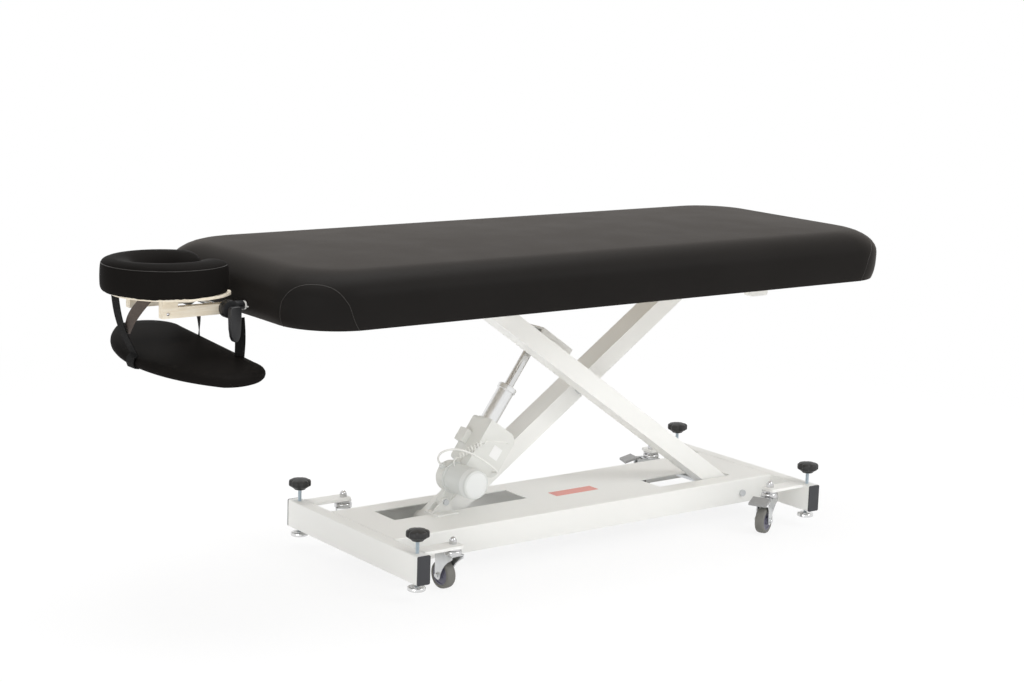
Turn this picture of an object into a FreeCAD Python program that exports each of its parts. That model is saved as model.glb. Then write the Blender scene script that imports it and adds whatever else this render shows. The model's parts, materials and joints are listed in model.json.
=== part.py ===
"""Electric massage table: a scissor lift on a castered base, an upholstered top and a face cradle.

Millimetres, +Z up, +X towards the foot end, +Y away from the side with the motor's end.
The origin is on the floor, under the middle of the whole length and width.
"""
import FreeCAD, Part
import math
import os
import re

from FreeCAD import Placement, Rotation, Vector

doc = FreeCAD.newDocument("electric_massage_table")

# Driving dimensions, in millimetres and degrees
SIZES = (
    ("running_gap", 0.05, "between a shaft and the hole it turns or slides in"),
    ("side_gap", 2, "beside a roller, arm or lug"),
    ("face_clearance", 0.3, "between faces of pieces that move past each other"),
    # base
    ("base_length", 1402, "over the outer faces of the cross beams"),
    ("base_width", 636, "over the end caps of a cross beam"),
    ("beam_width", 38, "cross beam tube"),
    ("beam_height", 76, "cross beam tube"),
    ("beam_wall", 2.5, "cross beam tube"),
    ("beam_corner", 4, "corner radius of the tube"),
    ("beam_bottom", 51, "height of the tube's underside over the floor"),
    ("cap_thickness", 4, "end cap outside the tube"),
    ("cap_plug", 14, "end cap inside the tube"),
    ("spine_width", 310, "sheet channel between the cross beams"),
    ("spine_height", 70, "sheet channel"),
    ("spine_sheet", 3, "sheet thickness"),
    ("spine_bend", 4, "bend radius"),
    ("tray_length", 230, "floor plate under the lower rollers"),
    ("tray_sheet", 4, "floor plate thickness"),
    ("tray_margin", 15, "floor plate beyond the window for the arm's foot"),
    ("tray_lead", 60, "floor plate past the rollers' place, towards the foot end"),
    # casters
    ("caster_inset", 144, "swivel axis from the beam's outer face"),
    ("caster_side", 55, "swivel axis from the base's side"),
    ("plate_length", 122, "caster bar, out from the beam"),
    ("plate_width", 46, "caster bar, along the beam"),
    ("plate_inset", 27, "caster bar from the base's side"),
    ("plate_sheet", 8, "caster bar thickness"),
    ("plate_corner", 6, "rounded corner of the bar"),
    ("stem_radius", 6, "caster stem"),
    ("stem_proud", 14, "stem above the plate"),
    ("race_radius", 23, "fixed upper race"),
    ("race_height", 6, "fixed upper race"),
    ("nut_radius", 11, "acorn nut over its corners"),
    ("nut_height", 10, "hexagon of the acorn nut"),
    ("dome_radius", 8.6, "dome of the acorn nut"),
    ("crown_radius", 22, "swivelling crown of the fork"),
    ("crown_height", 15, "swivelling crown of the fork"),
    ("caster_trail", 36, "wheel axle behind the swivel axis"),
    ("wheel_radius", 37.5, "caster wheel"),
    ("wheel_width", 28, "caster wheel"),
    ("tread_round", 7, "rounded shoulder of the tread"),
    ("hub_radius", 12, "wheel hub"),
    ("dish_radius", 26, "dished web between hub and tread"),
    ("dish_depth", 4, "dished web between hub and tread"),
    ("axle_radius", 4, "wheel axle"),
    ("fork_gap", 2.5, "between wheel and fork leg"),
    ("leg_sheet", 3, "fork leg thickness"),
    ("leg_foot", 11, "round end of a fork leg"),
    ("pedal_pivot", 10, "brake pedal pin behind the swivel axis"),
    ("pedal_rise", 84, "brake pedal pin above the floor"),
    ("pedal_arm", 56, "brake pedal's pad behind the swivel axis"),
    ("pedal_reach", 92, "brake pedal's tip behind the swivel axis"),
    ("pedal_lift", 24, "brake pedal's pad above its pin"),
    ("pedal_fall", 12, "slope of the brake pedal's pad"),
    ("pedal_width", 54, "brake pedal's pad"),
    ("pedal_sheet", 6, "brake pedal thickness"),
    ("pedal_pin", 3, "brake pedal pin radius"),
    ("heading_head_near", 93, "way the fork trails, from +X"),
    ("heading_head_far", 60, "way the fork trails, from +X"),
    ("heading_foot_near", 204, "way the fork trails, from +X"),
    ("heading_foot_far", 160, "way the fork trails, from +X"),
    # levelling screws
    ("screw_side", 32, "screw from the base's side"),
    ("screw_radius", 5, "threaded spindle"),
    ("foot_rise", 30, "foot's underside over the floor, casters standing"),
    ("foot_radius", 23, "round foot"),
    ("foot_height", 13, "round foot"),
    ("knob_rise", 33, "knob above the beam"),
    ("knob_height", 31, "lobed knob"),
    ("knob_radius", 30, "lobed knob"),
    ("knob_neck", 15, "underside of the knob"),
    ("knob_taper", 12, "height of the tapered underside"),
    ("knob_lobes", 6, "lobes"),
    ("scallop_radius", 9, "hollow between two lobes"),
    # scissor lift
    ("lift_angle", 34.75, "slope of the arms"),
    ("lower_reach", 581, "lower pivot to centre pivot"),
    ("upper_reach", 494.5, "centre pivot to upper pivot"),
    ("arm_width", 70, "arm tube across the table"),
    ("arm_depth", 52, "arm tube in the plane of the scissor"),
    ("arm_wall", 3, "arm tube"),
    ("arm_plug", 30, "solid length each side of a pivot"),
    ("outer_arm_y", -61, "middle of the outer arm"),
    ("inner_arm_y", 57, "middle of the inner arm"),
    ("pivot_inset", 151, "lower pivot from the outer face of the foot beam"),
    ("pivot_drop", 41, "lower pivot below the top of the spine"),
    ("pivot_radius", 8, "lower and upper pivot pins"),
    ("pivot_head", 9.5, "head of the lower pivot bolt"),
    ("pivot_head_height", 7, "head of the lower pivot bolt"),
    ("spacer_wall", 5, "tube spacers on the pivots"),
    ("centre_radius", 10, "centre pivot pin"),
    ("centre_collar", 20, "collar on the centre pivot pin"),
    ("centre_cover", 10, "arm wall left in front of the pin"),
    ("roller_radius", 22, "lower rollers"),
    ("roller_width", 16, "lower rollers"),
    ("top_roller_radius", 18, "upper rollers"),
    ("top_roller_width", 14, "upper rollers"),
    ("roller_axle", 6, "roller axle radius"),
    ("outer_slot_head", 421, "outer arm's slot begins, from the foot beam's outer face"),
    ("outer_slot_foot", 149, "outer arm's slot ends, from the foot beam's outer face"),
    ("inner_slot_head", 136, "inner arm's slot begins, from the head beam's outer face"),
    ("inner_slot_foot", 576, "inner arm's slot ends, from the head beam's outer face"),
    ("slot_side", 4, "slot beside an arm, on the outer side"),
    ("slot_middle", 14, "slot beside the outer arm, on the inner side"),
    ("slot_drive", 28, "slot beside the inner arm, on the drive's side"),
    # actuator
    ("drive_y", 3, "middle plane of the actuator"),
    ("drive_inset", 295, "rear pin from the outer face of the head beam"),
    ("drive_rise", 28.6, "rear pin above the spine"),
    ("drive_angle", 54.6, "slope of the actuator"),
    ("drive_length", 524, "rear pin to rod-end pin"),
    ("drive_pin", 5, "rear pin radius"),
    ("clevis_half", 10, "half width of the rear eye"),
    ("clevis_radius", 15, "rear eye"),
    ("ear_sheet", 5, "rear bracket's ears"),
    ("ear_length", 46, "rear bracket's ears along the spine"),
    ("ear_flange", 30, "bracket's base plate beyond the near ear"),
    ("gear_start", 40, "gear case from the rear pin"),
    ("gear_half", 24, "half depth of the gear case"),
    ("gear_near", 12, "gear case on the motor's side of the axis"),
    ("gear_far", 17, "gear case on the other side of the axis"),
    ("motor_along", 70.5, "motor axis from the rear pin"),
    ("motor_above", 13, "motor axis above the actuator's axis"),
    ("motor_radius", 40, "motor"),
    ("drum_radius", 42, "gear case behind the motor"),
    ("motor_length", 101, "motor"),
    ("motor_edge", 5, "rounded end of the motor"),
    ("block_start", 118, "upper housing from the rear pin"),
    ("block_end", 253, "upper housing from the rear pin"),
    ("block_above", 22, "upper housing above the axis"),
    ("block_below", 85, "upper housing below the axis"),
    ("block_half", 42, "half width of the upper housing"),
    ("block_step", 50, "upper housing below the axis, on the inner arm's side"),
    ("block_edge", 10, "rounded edges of the upper housing"),
    ("block_round", 26, "rounded lower edges of the upper housing"),
    ("boss_start", 165, "cable boss from the rear pin"),
    ("boss_length", 38, "cable boss"),
    ("boss_width", 34, "cable boss"),
    ("boss_height", 18, "cable boss"),
    ("tube_radius", 24, "outer tube"),
    ("tube_wall", 4, "outer tube"),
    ("collar_start", 347, "collar from the rear pin"),
    ("collar_length", 14, "collar"),
    ("collar_radius", 27, "collar"),
    ("rod_radius", 13, "chrome rod"),
    ("rod_inside", 76, "rod left inside the collar"),
    ("bore_start", 126, "bore of the housing from the rear pin"),
    ("eye_radius", 15, "rod eye"),
    ("eye_half", 12, "half width of the rod eye"),
    ("eye_play", 2.5, "rod eye's slot, each way across the rod"),
    ("rod_pin", 6, "rod-end pin radius"),
    ("bracket_length", 125, "rod-end bracket along the arm"),
    ("bracket_lead", 18, "bracket past the rod-end pin, towards the upper end"),
    ("bracket_sheet", 5, "rod-end bracket"),
    ("bracket_half", 33, "half width of the bracket, outside"),
    ("bracket_roof", 22.5, "bracket's roof above the rod-end pin"),
    ("lead_radius", 1.6, "curly lead's wire"),
    ("motor_lead_radius", 2.8, "motor lead"),
    ("curl_radius", 7.2, "curly lead, to the middle of the wire"),
    ("curl_turns", 9.5, "curls"),
    ("curl_pitch", 8.9, "curls"),
    # control box in the spine
    ("control_length", 170, "control box"),
    ("control_width", 110, "control box"),
    ("control_height", 44, "control box"),
    ("control_inset", 520, "control box from the foot beam's outer face"),
    ("inlet_length", 28, "mains inlet"),
    ("inlet_height", 20, "mains inlet"),
    # table top
    ("top_length", 1966, "cushion"),
    ("top_width", 782, "cushion"),
    ("top_offset", 94.5, "middle of the top from the middle of the base, towards the head end"),
    ("corner_radius", 150, "corners of the cushion in plan"),
    ("side_draw", 3, "sides drawn in between the corners"),
    ("tuck_side", 10, "cover tucked under along the sides"),
    ("tuck_head", 22, "cover tucked under at the head end"),
    ("tuck_foot", 8, "cover tucked under at the foot end"),
    ("wall_height", 74, "upright part of the cushion's side"),
    ("edge_run", 85, "rounded top edge, across"),
    ("edge_rise", 63, "rounded top edge, up"),
    ("crown_rise", 6, "crown over the rounded edge"),
    ("board_thickness", 18, "plywood board"),
    ("board_margin", 34, "board inside the cushion's outline"),
    ("arm_head_gap", 5, "between the arms' upper ends and the board"),
    ("frame_tube", 30, "square tube of the top frame"),
    ("frame_wall", 2, "square tube of the top frame"),
    ("frame_side", 165, "side rails from the middle"),
    ("frame_margin", 190, "side rails inside the ends of the top"),
    ("frame_cross", 300, "head cross rail inside the ends of the side rails"),
    ("frame_gap", 20, "foot cross rail clear of the top hinge lugs"),
    ("rail_sheet", 5, "roller rails"),
    ("rail_lead", 130, "roller rail past the rollers' place, towards the head end"),
    ("rail_tail", 50, "roller rail past the rollers' place, towards the foot end"),
    ("lug_sheet", 6, "top hinge lugs"),
    ("lug_length", 70, "top hinge lugs"),
    ("lug_flange", 40, "top hinge lugs' flanges"),
    ("hook_length", 68, "hook under the near edge"),
    ("hook_drop", 26, "hook under the near edge"),
    ("hook_width", 22, "hook under the near edge"),
    ("hook_margin", 70, "hook from the near side of the top"),
    ("hook_inset", 440, "hook from the foot end of the top"),
    # face cradle
    ("face_gap", 3, "face cushion from the end of the top"),
    ("face_diameter", 310, "face cushion"),
    ("face_hole", 58, "inside of the horseshoe"),
    ("face_height", 78, "face cushion"),
    ("face_open", 42, "half angle of the horseshoe's opening"),
    ("face_bulge", 28, "height of the face cushion's widest line"),
    ("platform_margin", 8, "platform inside the face cushion"),
    ("platform_shift", 14, "platform towards the table, from the face cushion's middle"),
    ("platform_sheet", 7, "plywood platform"),
    ("platform_rise", 26, "platform's underside over the rods"),
    ("rod_side", 108, "cradle rods from the middle"),
    ("rod_rise", 32, "cradle rods over the board's underside"),
    ("cradle_rod", 6.8, "cradle rod radius"),
    ("rod_reach", 44, "tilt axis from the end of the top"),
    ("rod_depth", 190, "cradle rods inside the end of the top"),
    ("block_depth", 250, "wooden block that takes the rods"),
    ("block_margin", 22, "wooden block outside the rods"),
    ("end_wall", 32, "cushion between its head end and the block"),
    ("grommet_gap", 3, "cushion's hole round a rod"),
    ("knuckle_radius", 22, "plastic knuckle"),
    ("knuckle_width", 24, "plastic knuckle"),
    ("knuckle_drop", 7, "tilt axis below the rods"),
    ("knuckle_nose", 36, "knuckle's socket round the rod, from the tilt axis"),
    ("tilt_rod", 6, "tilt rod radius"),
    ("tilt_proud", 6, "tilt rod past the far knuckle"),
    ("lever_reach", 13, "cam lever's pin from the near knuckle"),
    ("lever_pin", 3, "cam lever's pin radius"),
    ("lever_slot", 7.2, "half width of the cam lever's fork, inside"),
    ("bar_length", 170, "wooden side arm"),
    ("bar_height", 26, "wooden side arm"),
    ("bar_width", 20, "wooden side arm"),
    ("heel_length", 40, "raised end of the side arm under the platform"),
    ("washer_radius", 11, "white collar on a rod"),
    ("washer_width", 5, "white collar on a rod"),
    ("washer_gap", 2, "white collar from the knuckle"),
    ("lever_length", 76, "cam lever"),
    ("lever_width", 28, "cam lever"),
    ("lever_sheet", 11, "cam lever"),
    ("lever_head", 9, "cam lever's round head"),
    # arm shelf
    ("shelf_length", 580, "arm shelf across the table"),
    ("shelf_width", 245, "arm shelf along the table"),
    ("shelf_height", 28, "arm shelf"),
    ("shelf_end", 93, "round end of the shelf, along its straight edge"),
    ("shelf_soft", 10, "rounded edge of the shelf"),
    ("shelf_drop", 139, "shelf's underside below the rods"),
    ("shelf_reach", 134, "middle of the shelf from the end of the top"),
    ("shelf_roll", 4, "near end hangs lower"),
    ("shelf_pitch", 2.2, "head side hangs lower"),
    ("strap_width", 38, "webbing"),
    ("strap_sheet", 2.5, "webbing"),
    ("rear_strap_width", 30, "webbing from the knuckles"),
)

# Places worked out from the driving dimensions
PLACES = (
    ("foot_end", "(top_length + face_gap + face_diameter) / 2"),
    ("head_end", "foot_end - top_length"),
    ("base_x", "foot_end - top_length / 2 + top_offset"),
    ("half_base", "base_length / 2"),
    ("half_width", "base_width / 2"),
    ("half_spine", "spine_width / 2"),
    ("beam_x", "half_base - beam_width / 2"),
    ("spine_x", "half_base - beam_width"),
    ("beam_top", "beam_bottom + beam_height"),
    ("screw_y", "half_width - screw_side"),
    ("caster_x", "half_base - caster_inset"),
    ("caster_y", "half_width - caster_side"),
    ("plate_bottom", "beam_top - plate_sheet"),
    ("crown_top", "plate_bottom - race_height - face_clearance"),
    ("crown_bottom", "crown_top - crown_height"),
    ("fork_half", "wheel_width / 2 + fork_gap + leg_sheet"),
    ("knob_bottom", "beam_top + knob_rise"),
    ("pivot_x", "base_x + half_base - pivot_inset"),
    ("pivot_z", "beam_top - pivot_drop"),
    ("cross_x", "pivot_x - lower_reach * cos(lift_angle)"),
    ("cross_z", "pivot_z + lower_reach * sin(lift_angle)"),
    ("heel_x", "pivot_x - 2 * lower_reach * cos(lift_angle)"),
    ("roller_x", "cross_x - upper_reach * cos(lift_angle)"),
    ("hinge_x", "cross_x + upper_reach * cos(lift_angle)"),
    ("hinge_z", "cross_z + upper_reach * sin(lift_angle)"),
    ("arm_length", "lower_reach + upper_reach"),
    ("outer_near", "outer_arm_y - arm_width / 2"),
    ("outer_far", "outer_arm_y + arm_width / 2"),
    ("inner_near", "inner_arm_y - arm_width / 2"),
    ("inner_far", "inner_arm_y + arm_width / 2"),
    ("tray_top", "pivot_z - roller_radius - face_clearance"),
    ("drive_x", "base_x - half_base + drive_inset"),
    ("drive_z", "beam_top + drive_rise"),
    ("eye_x", "drive_x + drive_length * cos(drive_angle)"),
    ("eye_z", "drive_z + drive_length * sin(drive_angle)"),
    ("pin_along", "(eye_x - pivot_x) * cos(lift_angle) - (eye_z - pivot_z) * sin(lift_angle)"),
    ("pin_above", "(eye_x - pivot_x) * sin(lift_angle) + (eye_z - pivot_z) * cos(lift_angle)"),
    ("collar_end", "collar_start + collar_length"),
    ("board_bottom", "hinge_z + arm_depth / 2 + arm_head_gap"),
    ("board_top", "board_bottom + board_thickness"),
    ("frame_bottom", "board_bottom - frame_tube"),
    ("top_x", "foot_end - top_length / 2"),
    ("top_half", "top_width / 2"),
    ("block_head", "head_end + end_wall"),
    ("rod_z", "board_bottom + rod_rise"),
    ("tilt_x", "head_end - rod_reach"),
    ("tilt_z", "rod_z - knuckle_drop"),
    ("knuckle_outer", "rod_side + knuckle_width / 2"),
    ("knuckle_inner", "rod_side - knuckle_width / 2"),
    ("bar_outer", "knuckle_inner - face_clearance"),
    ("platform_z", "rod_z + platform_rise"),
    ("face_z", "platform_z + platform_sheet"),
    ("face_x", "head_end - face_gap - face_diameter / 2"),
    ("shelf_x", "head_end - shelf_reach"),
    ("shelf_z", "rod_z - shelf_drop"),
)

OWNERS = {}


def bound(text):
    """An expression in plain size names, with each name led to the sheet that holds it."""
    return re.sub(r"[a-z][a-z_]*", lambda word: OWNERS.get(word[0], "") + word[0], str(text))


sizes = doc.addObject("Spreadsheet::Sheet", "sizes")
for row, (alias, number, note) in enumerate(SIZES, start=1):
    sizes.set(f"A{row}", alias)
    sizes.set(f"B{row}", str(number))
    sizes.set(f"C{row}", note)
    sizes.setAlias(f"B{row}", alias)
    OWNERS[alias] = "sizes."
doc.recompute()

places = doc.addObject("Spreadsheet::Sheet", "places")
for row, (alias, formula) in enumerate(PLACES, start=1):
    places.set(f"A{row}", alias)
    places.set(f"B{row}", "=" + re.sub(r"places\.", "", bound(formula)))
    places.setAlias(f"B{row}", alias)
    OWNERS[alias] = "places."
doc.recompute()


def mm(text):
    """The number that an expression in size names comes to."""
    return float(sizes.evalExpression(bound(text)))


def place(obj, x, y, z):
    """Binds an object's position to three expressions."""
    for axis, text in zip("xyz", (x, y, z)):
        obj.setExpression(f"Placement.Base.{axis}", bound(text))
    return obj


def turned(obj, axis, angle, x, y, z):
    """Turns an object about an axis through its own origin, then places that origin."""
    obj.Placement = Placement(Vector(), Rotation(axis, 1))
    obj.setExpression("Placement.Rotation.Angle", bound(angle))
    return place(obj, x, y, z)


UP_HEAD = Vector(0, 1, 0)     # turning about it lifts the head end
UP_FOOT = Vector(0, -1, 0)    # turning about it lifts the foot end
UPRIGHT = Vector(0, 0, 1)


def box(name, x, y, z):
    """A block between two corners; each of x, y and z is a pair, low and high."""
    obj = doc.addObject("Part::Box", name)
    for side, (low, high) in zip(("Length", "Width", "Height"), (x, y, z)):
        obj.setExpression(side, bound(f"({high}) - ({low})"))
    return place(obj, x[0], y[0], z[0])


LAID = {"x": Rotation(Vector(0, 1, 0), 90), "y": Rotation(Vector(1, 0, 0), -90), "z": Rotation()}


def laid(obj, along, start, centre):
    """Lays a round piece along an axis, from start, with its other two coordinates given."""
    obj.Placement = Placement(Vector(), LAID[along])
    spot = list(centre)
    spot.insert("xyz".index(along), start)
    return place(obj, *spot)


def cylinder(name, radius, along, start, end, centre):
    """A round bar along x, y or z."""
    obj = doc.addObject("Part::Cylinder", name)
    obj.setExpression("Radius", bound(radius))
    obj.setExpression("Height", bound(f"({end}) - ({start})"))
    return laid(obj, along, start, centre)


def cone(name, low_radius, high_radius, start, end, centre):
    """An upright cone with both ends cut off."""
    obj = doc.addObject("Part::Cone", name)
    obj.setExpression("Radius1", bound(low_radius))
    obj.setExpression("Radius2", bound(high_radius))
    obj.setExpression("Height", bound(f"({end}) - ({start})"))
    return laid(obj, "z", start, centre)


def fuse(name, *pieces):
    obj = doc.addObject("Part::MultiFuse", name)
    obj.Shapes = list(pieces)
    return obj


def cut(name, body, *tools):
    obj = doc.addObject("Part::Cut", name)
    obj.Base = body
    obj.Tool = tools[0] if len(tools) == 1 else fuse(name + "_cuts", *tools)
    return obj


def group(name, *pieces):
    """Separate solids kept together in one node."""
    obj = doc.addObject("Part::Compound", name)
    obj.Links = list(pieces)
    return obj


def rounded(name, body, radius, keep):
    """The body with the edges that keep() picks rounded."""
    doc.recompute()
    obj = doc.addObject("Part::Fillet", name)
    obj.Base = body
    size = mm(radius)
    obj.Edges = [(number, size, size) for number, edge in enumerate(body.Shape.Edges, start=1) if keep(edge)]
    return obj


def runs_along(edge, axis):
    """Whether an edge is a straight one along the axis."""
    if not isinstance(edge.Curve, Part.Line):
        return False
    return abs(abs(edge.tangentAt(edge.FirstParameter).dot(axis)) - 1) < 1e-6


def shaped(name, shape):
    """An object that holds a shape made from the sheet's numbers."""
    obj = doc.addObject("Part::Feature", name)
    obj.Shape = shape
    return obj


def slab(name, points, y):
    """A plate cut to an outline in the XZ plane, between two planes across the table."""
    near, far = mm(y[0]), mm(y[1])
    corners = [Vector(mm(x), near, mm(z)) for x, z in points]
    face = Part.Face(Part.makePolygon(corners + corners[:1]))
    return shaped(name, face.extrude(Vector(0, far - near, 0)))


NODES = {}


def node(name, obj):
    """Names a finished piece."""
    obj.Label = name
    NODES[name] = obj
    return obj


ENDS = (("head", -1), ("foot", 1))
SIDES = (("near", -1), ("far", 1))
CORNERS = [(end + "_" + side, u, v) for end, u in ENDS for side, v in SIDES]


def pair(low, high, sign):
    """A range measured out from the middle, on the side that sign gives."""
    return (f"{low}", f"{high}") if sign > 0 else (f"-({high})", f"-({low})")


# Cross beams: rectangular tube across each end of the base, drilled for the levelling screws
def cross_beam(end, u):
    middle = f"base_x + {u} * beam_x"
    x = (f"{middle} - beam_width / 2", f"{middle} + beam_width / 2")
    y = ("cap_thickness - half_width", "half_width - cap_thickness")
    blank = box(end + "_beam_blank", x, y, ("beam_bottom", "beam_top"))
    tube = rounded(end + "_beam_tube", blank, "beam_corner", lambda edge: runs_along(edge, Vector(0, 1, 0)))
    hollow = box(
        end + "_beam_hollow",
        (f"{x[0]} + beam_wall", f"{x[1]} - beam_wall"),
        ("-half_width", "half_width"),
        ("beam_bottom + beam_wall", "beam_top - beam_wall"),
    )
    holes = [
        cylinder(
            f"{end}_{side}_screw_hole", "screw_radius + running_gap", "z",
            "beam_bottom - beam_wall", "beam_top + beam_wall", (middle, f"{v} * screw_y"),
        )
        for side, v in SIDES
    ]
    node(end + "_cross_beam", cut(end + "_cross_beam", tube, hollow, *holes))


for end, u in ENDS:
    cross_beam(end, u)


# End caps: a plate over each beam end, with a plug inside the tube
def end_cap(name, u, v):
    middle = f"base_x + {u} * beam_x"
    plate_blank = box(
        name + "_cap_blank",
        (f"{middle} - beam_width / 2", f"{middle} + beam_width / 2"),
        pair("half_width - cap_thickness", "half_width", v),
        ("beam_bottom", "beam_top"),
    )
    plate = rounded(name + "_cap_plate", plate_blank, "beam_corner",
                    lambda edge: runs_along(edge, Vector(0, 1, 0)))
    plug = box(
        name + "_cap_plug",
        (f"{middle} - beam_width / 2 + beam_wall", f"{middle} + beam_width / 2 - beam_wall"),
        pair("half_width - cap_thickness - cap_plug", "half_width - cap_thickness", v),
        ("beam_bottom + beam_wall", "beam_top - beam_wall"),
    )
    return fuse(name + "_cap", plate, plug)


node("beam_end_caps", group("beam_end_caps", *[end_cap(*corner) for corner in CORNERS]))

# Spine: folded sheet channel, open below, slotted for the arms and drilled for the lower pivot
spine_blank = box(
    "spine_blank", ("base_x - spine_x", "base_x + spine_x"), ("-half_spine", "half_spine"),
    ("beam_top - spine_height", "beam_top"),
)
spine_shell = rounded(
    "spine_shell", spine_blank, "spine_bend",
    lambda edge: runs_along(edge, Vector(1, 0, 0)) and edge.CenterOfMass.z > mm("beam_top - spine_bend"),
)
spine_hollow = box(
    "spine_hollow", ("base_x - half_base", "base_x + half_base"),
    ("spine_sheet - half_spine", "half_spine - spine_sheet"),
    ("beam_bottom - spine_height", "beam_top - spine_sheet"),
)
SLOT_Z = ("beam_top - 2 * spine_sheet", "beam_top + spine_sheet")
outer_slot = box(
    "outer_slot", ("base_x + half_base - outer_slot_head", "base_x + half_base - outer_slot_foot"),
    ("outer_near - slot_side", "outer_far + slot_middle"), SLOT_Z,
)
inner_slot = box(
    "inner_slot", ("base_x - half_base + inner_slot_head", "base_x - half_base + inner_slot_foot"),
    ("inner_near - slot_drive", "inner_far + slot_side"), SLOT_Z,
)
spine_pivot_hole = cylinder(
    "spine_pivot_hole", "pivot_radius", "y", "-spine_width", "spine_width", ("pivot_x", "pivot_z"),
)
node("base_spine", cut("base_spine", spine_shell, spine_hollow, outer_slot, inner_slot, spine_pivot_hole))

# Roller tray: floor plate welded between the spine's walls, which carries the lower rollers
TRAY_X = ("heel_x + tray_lead - tray_length", "heel_x + tray_lead")
node("roller_tray", cut(
    "roller_tray",
    box("tray_plate", TRAY_X, ("spine_sheet - half_spine", "half_spine - spine_sheet"),
        ("tray_top - tray_sheet", "tray_top")),
    box("tray_window", (f"{TRAY_X[0]} + tray_margin", f"{TRAY_X[1]} - tray_margin"),
        ("inner_near - side_gap * 0.75", "inner_far + side_gap * 0.75"),
        ("tray_top - 2 * tray_sheet", "tray_top + tray_sheet")),
))


# Casters: plate welded to the beam, stem with its upper race, acorn nut, then the swivelling fork
def caster_spot(u, v):
    return f"base_x + {u} * caster_x", f"{v} * caster_y"


def caster_plate(name, u, v):
    inner = ("half_base - beam_width - plate_length", "half_base - beam_width")
    low, high = pair(*inner, u)
    blank = box(
        name + "_plate_blank", (f"base_x + {low}", f"base_x + {high}"),
        pair("half_width - plate_inset - plate_width", "half_width - plate_inset", v),
        ("plate_bottom", "beam_top"),
    )
    corner_x = mm("base_x") + u * mm(inner[0])

    def outer_corner(edge):
        return runs_along(edge, UPRIGHT) and abs(edge.CenterOfMass.x - corner_x) < mm("plate_corner")

    plate = rounded(name + "_plate", blank, "plate_corner", outer_corner)
    hole = cylinder(name + "_stem_hole", "stem_radius", "z", "plate_bottom - plate_sheet",
                    "beam_top + plate_sheet", caster_spot(u, v))
    return cut(name + "_caster_plate", plate, hole)


def caster_stem(name, u, v):
    spot = caster_spot(u, v)
    race = cylinder(name + "_race", "race_radius", "z", "plate_bottom - race_height", "plate_bottom", spot)
    stem = cylinder(name + "_stem", "stem_radius", "z", "plate_bottom - race_height",
                    "beam_top + stem_proud", spot)
    return fuse(name + "_caster_stem", race, stem)


def acorn_nut(name, u, v):
    spot = caster_spot(u, v)
    hexagon = doc.addObject("Part::Prism", name + "_hexagon")
    hexagon.Polygon = 6
    hexagon.setExpression("Circumradius", bound("nut_radius"))
    hexagon.setExpression("Height", bound("nut_height"))
    place(hexagon, *spot, "beam_top")
    dome = doc.addObject("Part::Sphere", name + "_dome")
    dome.setExpression("Radius", bound("dome_radius"))
    dome.Angle1 = 0
    place(dome, *spot, "beam_top + nut_height")
    solid = fuse(name + "_nut_solid", hexagon, dome)
    bore = cylinder(name + "_nut_bore", "stem_radius", "z", "beam_top - nut_height",
                    "beam_top + stem_proud", spot)
    return cut(name + "_acorn_nut", solid, bore)


node("caster_plates", group("caster_plates", *[caster_plate(*corner) for corner in CORNERS]))
node("caster_stems", group(
    "caster_stems",
    *[caster_stem(*corner) for corner in CORNERS],
    *[acorn_nut(*corner) for corner in CORNERS],
))


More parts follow.
